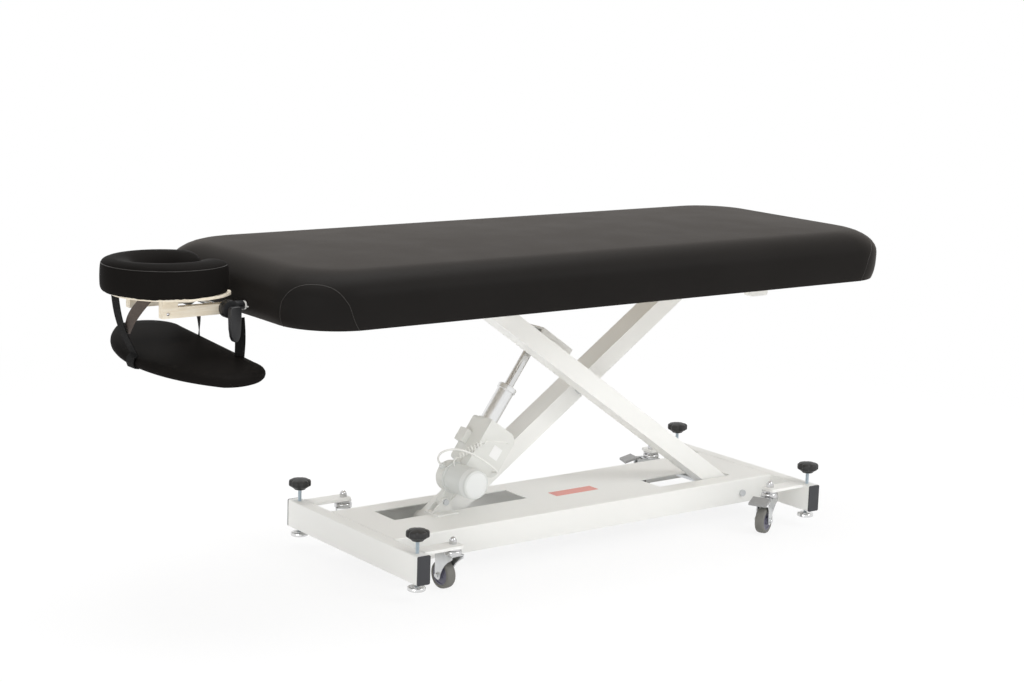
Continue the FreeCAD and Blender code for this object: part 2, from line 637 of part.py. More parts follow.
# Caster fork and wheel, made about the swivel axis with the wheel trailing along +X, then turned
def caster(name, u, v, braked):
    spot = caster_spot(u, v)
    heading = "heading_" + name
    axle = ("caster_trail", "wheel_radius")
    crown = cylinder(name + "_crown", "crown_radius", "z", "crown_bottom", "crown_top", ("0", "0"))
    pieces = [crown]
    for side, w in SIDES:
        leaf = pair("fork_half - leg_sheet", "fork_half", w)
        pieces.append(slab(f"{name}_{side}_leg", (
            ("-crown_radius * 0.95", "crown_bottom + crown_height / 5"),
            ("caster_trail + leg_foot", "crown_bottom + crown_height / 5"),
            ("caster_trail + leg_foot", "wheel_radius"),
            ("caster_trail - leg_foot", "wheel_radius"),
            ("caster_trail - leg_foot * 1.6", "wheel_radius * 1.5"),
            ("0", "wheel_radius * 2.1"),
            ("-crown_radius * 0.95", "crown_bottom * 0.95"),
        ), leaf))
        pieces.append(cylinder(f"{name}_{side}_leg_foot", "leg_foot", "y", *leaf, axle))
    pieces.append(cylinder(name + "_axle", "axle_radius", "y", "-fork_half - leg_sheet",
                           "fork_half + leg_sheet", axle))
    if braked:
        pieces.append(cylinder(name + "_pedal_pin", "pedal_pin", "y", "-fork_half", "fork_half",
                               ("pedal_pivot", "pedal_rise")))
    fork = turned(fuse(name + "_caster_fork", *pieces), UPRIGHT, heading, *spot, "0")
    node(name + "_caster_fork", fork)

    tread_blank = cylinder(name + "_tread_blank", "wheel_radius", "y", "-wheel_width / 2", "wheel_width / 2",
                           axle)
    tread = rounded(name + "_tread", tread_blank, "tread_round",
                    lambda edge: isinstance(edge.Curve, Part.Circle))
    dishes = []
    for side, w in SIDES:
        reach = pair("wheel_width / 2 - dish_depth", "wheel_width / 2 + dish_depth", w)
        ring = cylinder(f"{name}_{side}_dish", "dish_radius", "y", *reach, axle)
        hub = cylinder(f"{name}_{side}_hub", "hub_radius", "y", *reach, axle)
        dishes.append(cut(f"{name}_{side}_dish_ring", ring, hub))
    bore = cylinder(name + "_wheel_bore", "axle_radius + running_gap", "y", "-wheel_width", "wheel_width",
                    axle)
    wheel = turned(cut(name + "_caster_wheel", tread, bore, *dishes), UPRIGHT, heading, *spot, "0")
    node(name + "_caster_wheel", wheel)

    if braked:
        half = "wheel_width / 2"
        pad_top = "pedal_rise + pedal_lift"
        arm = slab(name + "_pedal_arm", (
            ("pedal_pivot", "pedal_rise - pedal_sheet / 2"),
            ("pedal_arm + pedal_sheet", f"{pad_top} - pedal_sheet"),
            ("pedal_arm + pedal_sheet", f"{pad_top} - pedal_sheet / 2"),
            ("pedal_arm", pad_top),
            ("pedal_pivot", "pedal_rise + pedal_sheet / 2"),
        ), (f"-{half}", half))
        pad = slab(name + "_pedal_pad", (
            ("pedal_arm", f"{pad_top} - pedal_sheet"),
            ("pedal_reach", f"{pad_top} - pedal_fall - pedal_sheet"),
            ("pedal_reach", f"{pad_top} - pedal_fall"),
            ("pedal_arm", pad_top),
        ), ("-pedal_width / 2", "pedal_width / 2"))
        eye = cylinder(name + "_pedal_eye", "pedal_pin * 2", "y", f"-{half}", half,
                       ("pedal_pivot", "pedal_rise"))
        hole = cylinder(name + "_pedal_hole", "pedal_pin + running_gap", "y", "-fork_half", "fork_half",
                        ("pedal_pivot", "pedal_rise"))
        pedal = cut(name + "_brake_pedal", fuse(name + "_pedal_solid", arm, pad, eye), hole)
        node(name + "_brake_pedal", turned(pedal, UPRIGHT, heading, *spot, "0"))


for name, u, v in CORNERS:
    caster(name, u, v, braked=(u > 0))


# Levelling screws: threaded spindle riveted to a round foot, turned by a lobed knob
def levelling_screw(name, u, v):
    spot = (f"base_x + {u} * beam_x", f"{v} * screw_y")
    foot = cylinder(name + "_foot", "foot_radius", "z", "foot_rise", "foot_rise + foot_height * 0.6", spot)
    slope = cone(name + "_foot_slope", "foot_radius", "screw_radius * 1.6", "foot_rise + foot_height * 0.6",
                 "foot_rise + foot_height", spot)
    spindle = cylinder(name + "_spindle", "screw_radius", "z", "foot_rise + foot_height",
                       "knob_bottom + knob_taper", spot)
    node(name + "_levelling_screw", fuse(name + "_levelling_screw", foot, slope, spindle))

    taper = cone(name + "_knob_taper", "knob_neck", "knob_radius", "knob_bottom", "knob_bottom + knob_taper",
                 spot)
    rim = cylinder(name + "_knob_rim", "knob_radius", "z", "knob_bottom + knob_taper",
                   "knob_bottom + knob_height", spot)
    lobes = int(mm("knob_lobes"))
    scallops = []
    for lobe in range(lobes):
        way = f"{lobe} * 360 / {lobes}"
        scallops.append(cylinder(
            f"{name}_scallop_{lobe}", "scallop_radius", "z", "knob_bottom - knob_height",
            "knob_bottom + 2 * knob_height",
            (f"{spot[0]} + (knob_radius + scallop_radius * 0.6) * cos({way})",
             f"{spot[1]} + (knob_radius + scallop_radius * 0.6) * sin({way})"),
        ))
    socket = cylinder(name + "_knob_socket", "screw_radius", "z", "knob_bottom - knob_height",
                      "knob_bottom + knob_taper", spot)
    node(name + "_knob", cut(name + "_knob", fuse(name + "_knob_solid", taper, rim), socket, *scallops))


for corner in CORNERS:
    levelling_screw(*corner)

# Bolts of the base: the lower pivot's, with tube spacers each side of the outer arm, and the actuator's
bolt = fuse(
    "pivot_bolt",
    cylinder("pivot_shank", "pivot_radius", "y", "-half_spine", "half_spine", ("pivot_x", "pivot_z")),
    cylinder("pivot_bolt_head", "pivot_head", "y", "-half_spine - pivot_head_height", "-half_spine",
             ("pivot_x", "pivot_z")),
    cylinder("pivot_bolt_nut", "pivot_head", "y", "half_spine", "half_spine + pivot_head_height",
             ("pivot_x", "pivot_z")),
)


def pivot_spacer(name, start, end):
    tube = cylinder(name + "_tube", "pivot_radius + spacer_wall", "y", start, end, ("pivot_x", "pivot_z"))
    bore = cylinder(name + "_bore", "pivot_radius", "y", "-spine_width", "spine_width",
                    ("pivot_x", "pivot_z"))
    return cut(name, tube, bore)


EAR_NEAR = ("drive_y - clevis_half - face_clearance - ear_sheet", "drive_y - clevis_half - face_clearance")
EAR_FAR = ("drive_y + clevis_half + face_clearance", "drive_y + clevis_half + face_clearance + ear_sheet")
base_bolt = fuse(
    "actuator_base_bolt",
    cylinder("base_bolt_shank", "drive_pin", "y", EAR_NEAR[0], EAR_FAR[1], ("drive_x", "drive_z")),
    cylinder("base_bolt_head", "drive_pin * 1.7", "y", f"{EAR_NEAR[0]} - drive_pin", EAR_NEAR[0],
             ("drive_x", "drive_z")),
)
node("base_pivot_bolts", group(
    "base_pivot_bolts", bolt, base_bolt,
    pivot_spacer("near_spacer", "spine_sheet - half_spine", "outer_near - face_clearance"),
    pivot_spacer("far_spacer", "outer_far + face_clearance", "half_spine - spine_sheet"),
))


# Scissor arms: rectangular tube with round ends, solid about each pivot
def arm_tube(name, ends, y, holes):
    """An arm along its own X axis from ends[0] to ends[1], with a round hole for each of holes."""
    middle = f"{y}_arm_y"
    reach = (f"{y}_near", f"{y}_far")
    bar = box(name + "_bar", ends, reach, ("-arm_depth / 2", "arm_depth / 2"))
    tips = [cylinder(f"{name}_tip_{number}", "arm_depth / 2", "y", *reach, (end, "0"))
            for number, end in enumerate(ends)]
    solid = fuse(name + "_solid", bar, *tips)
    stops = [hole[0] for hole in holes]
    hollows = [
        box(f"{name}_hollow_{number}", (f"{low} + arm_plug", f"{high} - arm_plug"),
            (f"{middle} - arm_width / 2 + arm_wall", f"{middle} + arm_width / 2 - arm_wall"),
            ("arm_wall - arm_depth / 2", "arm_depth / 2 - arm_wall"))
        for number, (low, high) in enumerate(zip(stops, stops[1:]))
    ]
    bores = [
        cylinder(f"{name}_hole_{number}", radius, "y", start, end, (along, "0"))
        for number, (along, radius, start, end) in enumerate(holes)
    ]
    return cut(name, solid, *hollows, *bores)


ACROSS = ("-top_width", "top_width")
outer_arm = arm_tube("outer_arm", ("-arm_length", "0"), "outer", (
    ("-arm_length", "roller_axle", *ACROSS),
    ("-lower_reach", "centre_radius", "outer_near + centre_cover", "top_width"),
    ("0", "pivot_radius + running_gap", *ACROSS),
))
node("outer_arm", turned(outer_arm, UP_HEAD, "lift_angle", "pivot_x", "0", "pivot_z"))

inner_arm = arm_tube("inner_arm", ("0", "arm_length"), "inner", (
    ("0", "roller_axle", *ACROSS),
    ("lower_reach", "centre_radius + running_gap", *ACROSS),
    ("arm_length", "pivot_radius + running_gap", *ACROSS),
))
node("inner_arm", turned(inner_arm, UP_FOOT, "lift_angle", "heel_x", "0", "pivot_z"))

# Centre pivot: a pin fixed in the outer arm, with a collar that keeps the two arms apart
CENTRE = ("cross_x", "cross_z")
centre_pin = fuse(
    "centre_pivot_pin",
    cylinder("centre_shank", "centre_radius", "y", "outer_near + centre_cover", "inner_far + side_gap",
             CENTRE),
    cylinder("centre_spacer", "centre_collar", "y", "outer_far", "inner_near - face_clearance", CENTRE),
    cylinder("centre_end", "centre_collar", "y", "inner_far + face_clearance", "inner_far + lug_sheet",
             CENTRE),
)


# Rollers: a nylon roller each side of an arm, on an axle held in the arm
def roller_pair(name, y, width, radius, spot):
    beside = f"(side_gap + {width})"
    axle = cylinder(name + "_roller_axle", "roller_axle", "y", f"{y}_near - {beside}", f"{y}_far + {beside}",
                    spot)
    rollers = []
    for side, reach in (("near", (f"{y}_near - {beside}", f"{y}_near - side_gap")),
                        ("far", (f"{y}_far + side_gap", f"{y}_far + {beside}"))):
        disc = cylinder(f"{name}_{side}_disc", radius, "y", *reach, spot)
        bore = cylinder(f"{name}_{side}_bore", "roller_axle + running_gap", "y", *ACROSS, spot)
        rollers.append(cut(f"{name}_{side}_roller", disc, bore))
    node(name + "_rollers", group(name + "_rollers", *rollers))
    return axle


lower_axle = roller_pair("lower", "inner", "roller_width", "roller_radius", ("heel_x", "pivot_z"))
upper_axle = roller_pair("upper", "outer", "top_roller_width", "top_roller_radius", ("roller_x", "hinge_z"))
node("lower_roller_axle", lower_axle)

# Rod-end bracket: folded plate that stands on the outer arm and spans over the actuator's rod
bracket_x = ("pin_along - bracket_lead", "pin_along - bracket_lead + bracket_length")
bracket_z = ("arm_depth / 2", "pin_above + bracket_roof")
bracket_near = ("drive_y - bracket_half", "drive_y - bracket_half + bracket_sheet")
bracket_far = ("drive_y + bracket_half - bracket_sheet", "drive_y + bracket_half")
bracket = cut(
    "rod_end_bracket",
    fuse(
        "bracket_plates",
        box("bracket_near_cheek", bracket_x, bracket_near, bracket_z),
        box("bracket_far_cheek", bracket_x, bracket_far, bracket_z),
        box("bracket_roof_plate", bracket_x, (bracket_near[0], bracket_far[1]),
            (f"{bracket_z[1]} - bracket_sheet", bracket_z[1])),
    ),
    cylinder("bracket_hole", "rod_pin", "y", *ACROSS, ("pin_along", "pin_above")),
)
node("rod_end_bracket", turned(bracket, UP_HEAD, "lift_angle", "pivot_x", "0", "pivot_z"))
rod_end_pin = cylinder(
    "rod_end_pin", "rod_pin", "y", "drive_y - bracket_half", "drive_y + bracket_half", ("eye_x", "eye_z"),
)
node("outer_arm_pins", group("outer_arm_pins", centre_pin, upper_axle, rod_end_pin))

# Actuator's rear bracket: base plate on the spine, reaching over the slot, with two ears
def ear(name, y):
    plate = slab(name + "_plate", (
        ("drive_x - ear_length", "beam_top"),
        ("drive_x + ear_length / 2", "beam_top"),
        ("drive_x + clevis_radius * 0.8", "drive_z + clevis_radius * 0.3"),
        ("drive_x - clevis_radius * 0.8", "drive_z + clevis_radius * 0.3"),
    ), y)
    top = cylinder(name + "_top", "clevis_radius * 0.85", "y", *y, ("drive_x", "drive_z"))
    return fuse(name, plate, top)


node("actuator_bracket", cut(
    "actuator_bracket",
    fuse(
        "bracket_body", ear("near_ear", EAR_NEAR), ear("far_ear", EAR_FAR),
        box("bracket_base", ("drive_x - ear_length", "drive_x + ear_length / 2"),
            (f"{EAR_NEAR[0]} - ear_flange", EAR_FAR[1]), ("beam_top", "beam_top + ear_sheet")),
    ),
    cylinder("ear_hole", "drive_pin", "y", *ACROSS, ("drive_x", "drive_z")),
))


# Actuator: made along its own X axis from the rear pin, then raised to its slope
def on_drive(name, obj):
    node(name, turned(obj, UP_FOOT, "drive_angle", "drive_x", "0", "drive_z"))


DRIVE = ("drive_y", "0")
GEAR_Y = ("drive_y - gear_near", "drive_y + gear_far")
BLOCK_X_REACH = ("block_start", "block_end")


def low_edge(edge):
    return runs_along(edge, Vector(0, 1, 0)) and edge.CenterOfMass.z < -mm("block_step")


near_case = rounded(
    "near_case",
    box("near_case_blank", BLOCK_X_REACH, ("drive_y - block_half", "drive_y + gear_far"),
        ("-block_below", "block_above")),
    "block_round", low_edge,
)
far_case = rounded(
    "far_case",
    box("far_case_blank", BLOCK_X_REACH, ("drive_y", "drive_y + block_half"), ("-block_step", "block_above")),
    "block_edge", lambda edge: runs_along(edge, Vector(0, 1, 0)),
)
MOTOR = ("motor_along", "motor_above")
MOTOR_Y = ("drive_y - gear_near - motor_length", "drive_y - gear_near")
housing = cut(
    "actuator_housing",
    fuse(
        "housing_solid", near_case, far_case,
        box("gear_bridge", ("motor_along", "block_start + block_edge"),
            ("drive_y - block_half", "drive_y + gear_far"), ("-gear_half", "block_above")),
        box("gear_case", ("gear_start", "block_start + block_edge"), GEAR_Y, ("-gear_half", "gear_half")),
        cylinder("gear_drum", "drum_radius", "y", *GEAR_Y, MOTOR),
        box("clevis_neck", ("0", "gear_start"), ("drive_y - clevis_half", "drive_y + clevis_half"),
            ("-clevis_radius", "clevis_radius")),
        cylinder("clevis_eye", "clevis_radius", "y", "drive_y - clevis_half", "drive_y + clevis_half",
                 ("0", "0")),
        box("cable_boss", ("boss_start", "boss_start + boss_length"),
            ("drive_y + block_half - boss_width", "drive_y + block_half"),
            ("block_above", "block_above + boss_height")),
    ),
    cylinder("clevis_hole", "drive_pin + running_gap", "y", *ACROSS, ("0", "0")),
    cylinder("rod_bore", "rod_radius + running_gap", "x", "bore_start", "collar_end", DRIVE),
    cylinder("motor_seat", "motor_radius", "y", *MOTOR_Y, MOTOR),
)
on_drive("actuator_housing", housing)

motor_can = rounded(
    "motor_can", cylinder("motor_blank", "motor_radius", "y", *MOTOR_Y, MOTOR), "motor_edge",
    lambda edge: isinstance(edge.Curve, Part.Circle) and edge.CenterOfMass.y < mm("drive_y - block_half"),
)
on_drive("actuator_motor", group("actuator_motor", motor_can))

tube = cut(
    "actuator_tube",
    cylinder("tube_outside", "tube_radius", "x", "block_end", "collar_start", DRIVE),
    cylinder("tube_inside", "tube_radius - tube_wall", "x", "block_end - tube_wall", "collar_end", DRIVE),
)
on_drive("actuator_tube", tube)
collar = cut(
    "actuator_collar",
    cylinder("collar_outside", "collar_radius", "x", "collar_start", "collar_end", DRIVE),
    cylinder("collar_inside", "rod_radius + running_gap", "x", "block_end", "drive_length", DRIVE),
)
on_drive("actuator_collar", collar)
rod = cylinder("rod_bar", "rod_radius", "x", "collar_start - rod_inside", "drive_length - eye_radius", DRIVE)
on_drive("actuator_rod", group("actuator_rod", rod))

# Rod eye: its hole is a slot across the rod, because the lift's closed loop is opened here
eye_reach = ("drive_y - eye_half", "drive_y + eye_half")
slot_radius = "rod_pin + side_gap / 2"
rod_eye = cut(
    "rod_eye",
    fuse(
        "eye_solid",
        cylinder("eye_round", "eye_radius", "y", *eye_reach, ("drive_length", "0")),
        box("eye_shank", ("drive_length - eye_radius", "drive_length"), eye_reach,
            ("-rod_radius - side_gap", "rod_radius + side_gap")),
    ),
    cylinder("eye_slot_low", slot_radius, "y", *ACROSS, ("drive_length", "-eye_play")),
    cylinder("eye_slot_high", slot_radius, "y", *ACROSS, ("drive_length", "eye_play")),
    box("eye_slot_middle", (f"drive_length - ({slot_radius})", f"drive_length + {slot_radius}"), ACROSS,
        ("-eye_play", "eye_play")),
)
on_drive("rod_eye", rod_eye)


# Leads on the actuator: one curled, one plain, both held at their two ends
def on_actuator(along, side, above):
    """A point given along, beside and above the actuator's axis, in the table's frame."""
    slope = math.radians(mm("drive_angle"))
    return Vector(
        mm("drive_x") + along * math.cos(slope) - above * math.sin(slope), side,
        mm("drive_z") + along * math.sin(slope) + above * math.cos(slope),
    )


def pipe(path, radius):
    """A round wire along a path, made as a pipe shell from one end."""
    edges = path.OrderedEdges
    start, way = edges[0].valueAt(edges[0].FirstParameter), edges[0].tangentAt(edges[0].FirstParameter)
    section = Part.Wire(Part.makeCircle(radius, start, way))
    return path.makePipeShell([section], True, False)


def arc_between(start, way, end):
    """The arc that leaves start along way and reaches end, with the way it arrives."""
    chord = end - start
    across = chord - way * chord.dot(way)
    if across.Length < 1e-6:
        return Part.LineSegment(start, end), way
    radius = chord.Length ** 2 / (2 * across.Length)
    centre = start + across.normalize() * radius
    arrive = chord.normalize() * (2 * chord.normalize().dot(way)) - way
    bisector = ((start - centre).normalize() + (end - centre).normalize())
    middle = centre + bisector.normalize() * radius
    return Part.Arc(start, middle, end), arrive.normalize()


def biarc(start, way, end, arrive):
    """Two arcs that join start to end and keep both directions."""
    way = Vector(way).normalize()
    chord = end - start
    both = way + arrive
    a = 2 * (1 - way.dot(arrive))
    b = chord.dot(both)
    c = chord.dot(chord)
    reach = c / (2 * b) if abs(a) < 1e-9 else (-b + math.sqrt(b * b + a * c)) / a
    join = (start + way * reach + end - arrive * reach) * 0.5
    first, turn = arc_between(start, way, join)
    second, _ = arc_between(join, turn, end)
    return [first.toShape(), second.toShape()]


def least_gap(points, wire, apart):
    """Clear distance between stretches of one wire that are more than apart points from each other."""
    least = min(
        (points[i] - points[j]).Length
        for i in range(len(points)) for j in range(i + apart, len(points))
    )
    return least - 2 * wire


# Points of the two leads, each along, beside and above the actuator's axis
CURLY_LEAD_EXIT = (92, -30, 46.9)
CURLY_LEAD_OUTWARD = (1, 0, 1.6)
CURLS_FROM = (114, -30, 55)
CURLS_TOWARDS = (188, -53, 22)
CURLY_LEAD_END = (223, -39, -56)
MOTOR_LEAD_POINTS = (
    (79, 5, 54.4), (79.5, 5, 82), (104, -14, 101), (131, -46, 84), (142, -60, 42), (144, -63, -4),
    (142, -72, -34), (138.5, -69, -66), (138, -39.3, -68),
)
SAMPLES_PER_TURN = 24

curl_from = on_actuator(*CURLS_FROM)
curl_axis = (on_actuator(*CURLS_TOWARDS) - curl_from).normalize()
curl_side = curl_axis.cross(Vector(0, 1, 0)).normalize()
curl_up = curl_side.cross(curl_axis)
curl_steps = 4


def curl_point(turn):
    angle = 2 * math.pi * turn
    radius = mm("curl_radius")
    return (curl_from + curl_axis * (mm("curl_pitch") * turn)
            + curl_side * (radius * math.cos(angle)) + curl_up * (radius * math.sin(angle)))


def curl_way(turn):
    angle = 2 * math.pi * turn
    radius = mm("curl_radius")
    way = (curl_axis * (mm("curl_pitch") / (2 * math.pi))
           - curl_side * (radius * math.sin(angle)) + curl_up * (radius * math.cos(angle)))
    return way.normalize()


turns = mm("curl_turns")
curl_edges = []
for step in range(round(turns * curl_steps)):
    low, high = step / curl_steps, (step + 1) / curl_steps
    curl_edges += biarc(curl_point(low), curl_way(low), curl_point(high), curl_way(high))
curl_path = Part.Wire(
    biarc(on_actuator(*CURLY_LEAD_EXIT), on_actuator(*CURLY_LEAD_OUTWARD) - on_actuator(0, 0, 0),
          curl_point(0), curl_way(0))
    + curl_edges
    + biarc(curl_point(turns), curl_way(turns), on_actuator(*CURLY_LEAD_END), Vector(0, 1, 0))
)
samples = [curl_point(number / SAMPLES_PER_TURN) for number in range(round(SAMPLES_PER_TURN * turns) + 1)]
clear = least_gap(samples, mm("lead_radius"), SAMPLES_PER_TURN // 2)
print("curly lead: least gap to itself %.2f mm" % clear)
node("curly_lead", shaped("curly_lead", pipe(curl_path, mm("lead_radius"))))


def rounded_path(points):
    """Straight runs joined by arcs as large as the shorter run beside each corner allows."""
    edges = []
    last = points[0]
    for before, corner, after in zip(points, points[1:], points[2:]):
        back, ahead = before - corner, after - corner
        run = 0.45 * min(back.Length, ahead.Length)
        back.normalize()
        ahead.normalize()
        half = (math.pi - math.acos(max(-1, min(1, back.dot(ahead))))) / 2
        radius = run / math.tan(half)
        start, end = corner + back * run, corner + ahead * run
        inward = (back + ahead).normalize()
        middle = corner + inward * (radius / math.cos(half) - radius)
        edges.append(Part.LineSegment(last, start).toShape())
        edges.append(Part.Arc(start, middle, end).toShape())
        print("motor lead: bend radius %.1f mm" % radius)
        last = end
    edges.append(Part.LineSegment(last, points[-1]).toShape())
    return Part.Wire(edges)


motor_lead_path = rounded_path([on_actuator(*spot) for spot in MOTOR_LEAD_POINTS])
node("motor_lead", shaped("motor_lead", pipe(motor_lead_path, mm("motor_lead_radius"))))

# Control box with its mains inlet, hung under the spine's top
CONTROL_X = ("base_x + half_base - control_inset", "base_x + half_base - control_inset + control_length")
CONTROL_Y = ("half_spine - spine_sheet - control_width", "half_spine - spine_sheet")
CONTROL_Z = ("beam_top - spine_sheet - control_height", "beam_top - spine_sheet")
node("control_box", cut(
    "control_box",
    box("control_case", CONTROL_X, CONTROL_Y, CONTROL_Z),
    box("control_inlet", (f"{CONTROL_X[1]} - inlet_length / 2", f"{CONTROL_X[1]} + inlet_length"),
        ("half_spine - spine_sheet - control_width / 2 - inlet_length / 2",
         "half_spine - spine_sheet - control_width / 2 + inlet_length / 2"),
        ("beam_top - spine_sheet - control_height / 2 - inlet_height / 2",
         "beam_top - spine_sheet - control_height / 2 + inlet_height / 2")),
))


# Top frame: two side rails and three cross rails of square tube under the board
def frame_rail(name, x, y):
    z = ("frame_bottom", "board_bottom")
    solid = box(name + "_rail", x, y, z)
    return solid


side_x = ("head_end + frame_margin", "foot_end - frame_margin")
frame_pieces = [
    frame_rail(side + "_side", side_x,
               (f"{v} * frame_side - frame_tube / 2", f"{v} * frame_side + frame_tube / 2"))
    for side, v in SIDES
]
cross_places = (
    ("head", "head_end + frame_margin + frame_cross"),
    ("middle", "cross_x"),
    ("foot", "hinge_x + lug_length / 2 + frame_gap + frame_tube / 2"),
)
for name, middle in cross_places:
    frame_pieces.append(frame_rail(
        name + "_cross", (f"{middle} - frame_tube / 2", f"{middle} + frame_tube / 2"),
        ("frame_tube / 2 - frame_side", "frame_side - frame_tube / 2"),
    ))
frame_hollows = [
    box(side + "_side_hollow", (f"{side_x[0]} - frame_wall", f"{side_x[1]} + frame_wall"),
        (f"{v} * frame_side - frame_tube / 2 + frame_wall",
         f"{v} * frame_side + frame_tube / 2 - frame_wall"),
        ("frame_bottom + frame_wall", "board_bottom - frame_wall"))
    for side, v in SIDES
]
node("top_frame", cut("top_frame", fuse("top_frame_solid", *frame_pieces), *frame_hollows))


# Roller rails: a channel each side of the outer arm's upper end, in which the upper rollers run
def roller_rail(side, inner, outer):
    x = ("roller_x - rail_lead", "roller_x + rail_tail")
    low, high = sorted((inner, outer), key=mm)
    over = box(side + "_rail_over", x, (low, high),
               ("hinge_z + top_roller_radius + face_clearance", "board_bottom"))
    under = box(side + "_rail_under", x, (low, high),
                ("hinge_z - top_roller_radius - face_clearance - rail_sheet",
                 "hinge_z - top_roller_radius - face_clearance"))
    web_edge = f"{outer} + rail_sheet" if mm(inner) > mm(outer) else f"{outer} - rail_sheet"
    web_low, web_high = sorted((outer, web_edge), key=mm)
    web = box(side + "_rail_web", x, (web_low, web_high),
              ("hinge_z - top_roller_radius - face_clearance - rail_sheet", "board_bottom"))
    return fuse(side + "_roller_rail", over, under, web)


RAIL_REACH = "2 * side_gap + top_roller_width + rail_sheet"
node("roller_rails", group(
    "roller_rails",
    roller_rail("near", "outer_near - side_gap / 2", f"outer_near - ({RAIL_REACH})"),
    roller_rail("far", "outer_far + side_gap / 2", f"outer_far + {RAIL_REACH}"),
))


# Top hinge: a flanged lug each side of the inner arm's upper end, with a pin through both
def hinge_lug(side, face, way):
    plate_far = f"{face} + {way} * lug_sheet"
    flange_far = f"{face} + {way} * lug_flange"
    x = ("hinge_x - lug_length / 2", "hinge_x + lug_length / 2")
    plate = box(side + "_lug_plate", x, tuple(sorted((face, plate_far), key=mm)),
                ("hinge_z - arm_depth / 2", "board_bottom"))
    flange = box(side + "_lug_flange", x, tuple(sorted((face, flange_far), key=mm)),
                 ("board_bottom - lug_sheet", "board_bottom"))
    hole = cylinder(side + "_lug_hole", "pivot_radius", "y", *ACROSS, ("hinge_x", "hinge_z"))
    return cut(side + "_hinge_lug", fuse(side + "_lug_solid", plate, flange), hole)


node("top_hinge_lugs", group(
    "top_hinge_lugs",
    hinge_lug("near", "inner_near - side_gap", -1),
    hinge_lug("far", "inner_far + side_gap", 1),
))
node("top_hinge_pin", cylinder(
    "top_hinge_pin", "pivot_radius", "y", "inner_near - side_gap - lug_sheet",
    "inner_far + side_gap + lug_sheet", ("hinge_x", "hinge_z"),
))

# Board, and the wooden block at the head end that takes the cradle's rods
board = rounded(
    "ply_board",
    box("board_blank", ("head_end + board_margin", "foot_end - board_margin"),
        ("board_margin - top_half", "top_half - board_margin"), ("board_bottom", "board_top")),
    "corner_radius - board_margin", lambda edge: runs_along(edge, UPRIGHT),
)
BLOCK_X = ("block_head", "block_head + block_depth")
BLOCK_Y = ("-rod_side - block_margin", "rod_side + block_margin")
BLOCK_Z = ("board_top", "2 * rod_z - board_top")
head_block = cut(
    "head_block", box("head_block_blank", BLOCK_X, BLOCK_Y, BLOCK_Z),
    *[cylinder(side + "_rod_socket", "cradle_rod + running_gap", "x", "block_head - end_wall",
               "block_head + block_depth - block_margin", (f"{v} * rod_side", "rod_z"))
      for side, v in SIDES],
)
node("top_board", group("top_board", board, head_block))

# Hook under the near edge of the top
hook_x = ("foot_end - hook_inset - hook_length", "foot_end - hook_inset")
hook_y = ("hook_margin - top_half", "hook_margin + hook_width - top_half")
node("edge_hook", rounded(
    "edge_hook",
    box("hook_blank", hook_x, hook_y, ("board_bottom - hook_drop", "board_bottom")),
    "hook_drop / 3",
    lambda edge: runs_along(edge, Vector(0, 1, 0))
    and edge.CenterOfMass.z < mm("board_bottom - hook_drop / 2"),
))


# Cushion: outlines at rising heights, drawn in along the sides, lofted into one crowned form
def soft_outline(half_x, half_y, radius, draw, middle_x, z):
    """A closed outline of eight arcs: four corners and four sides that are drawn in by draw."""
    slant = radius * (1 - math.sqrt(0.5))
    spots = []
    for u, v in ((1, -1), (1, 1), (-1, 1), (-1, -1)):
        end = Vector(middle_x + u * half_x, v * (half_y - radius), z)
        middle = Vector(middle_x + u * (half_x - slant), v * (half_y - slant), z)
        side = Vector(middle_x + u * (half_x - radius), v * half_y, z)
        spots.append((end, middle, side) if u * v > 0 else (side, middle, end))
    edges = []
    for number, (start, middle, end) in enumerate(spots):
        edges.append(Part.Arc(start, middle, end).toShape())
        following = spots[(number + 1) % 4][0]
        centre = (end + following) * 0.5
        inward = Vector(middle_x - centre.x, -centre.y, 0)
        if abs(end.x - following.x) > abs(end.y - following.y):
            inward.x = 0
        else:
            inward.y = 0
        edges.append(Part.Arc(end, centre + inward.normalize() * draw, following).toShape())
    return Part.Wire(edges)


def cushion_form():
    half_x, half_y = mm("top_length / 2"), mm("top_half")
    low = mm("board_bottom")
    wall, run, rise = mm("wall_height"), mm("edge_run"), mm("edge_rise")
    draw, corner = mm("side_draw"), mm("corner_radius")
    tuck_side, tuck_head, tuck_foot = mm("tuck_side"), mm("tuck_head"), mm("tuck_foot")
    levels = []
    for part in (0, 0.3, 0.65, 1):
        fade = (1 - part) ** 3
        levels.append((wall * part, fade * tuck_head, fade * tuck_foot, fade * tuck_side, draw))
    for angle in (22, 42, 60, 76, 90):
        inset = run * (1 - math.cos(math.radians(angle)))
        height = wall + rise * math.sin(math.radians(angle))
        levels.append((height, inset, inset, inset, draw * math.cos(math.radians(angle)) + 0.3))
    crown = half_y - run
    for part in (0.12, 0.27, 0.43, 0.6):
        height = wall + rise + mm("crown_rise") * (1 - (1 - part) ** 2)
        inset = run + part * crown
        levels.append((height, inset, inset, inset, 0.3))
    wires = [
        soft_outline(half_x - (head + foot) / 2, half_y - side, corner * (1 - 0.8 * side / half_y), bow,
                     mm("top_x") + (head - foot) / 2, low + height)
        for height, head, foot, side, bow in levels
    ]
    return Part.makeLoft(wires, True, False, False, 2)


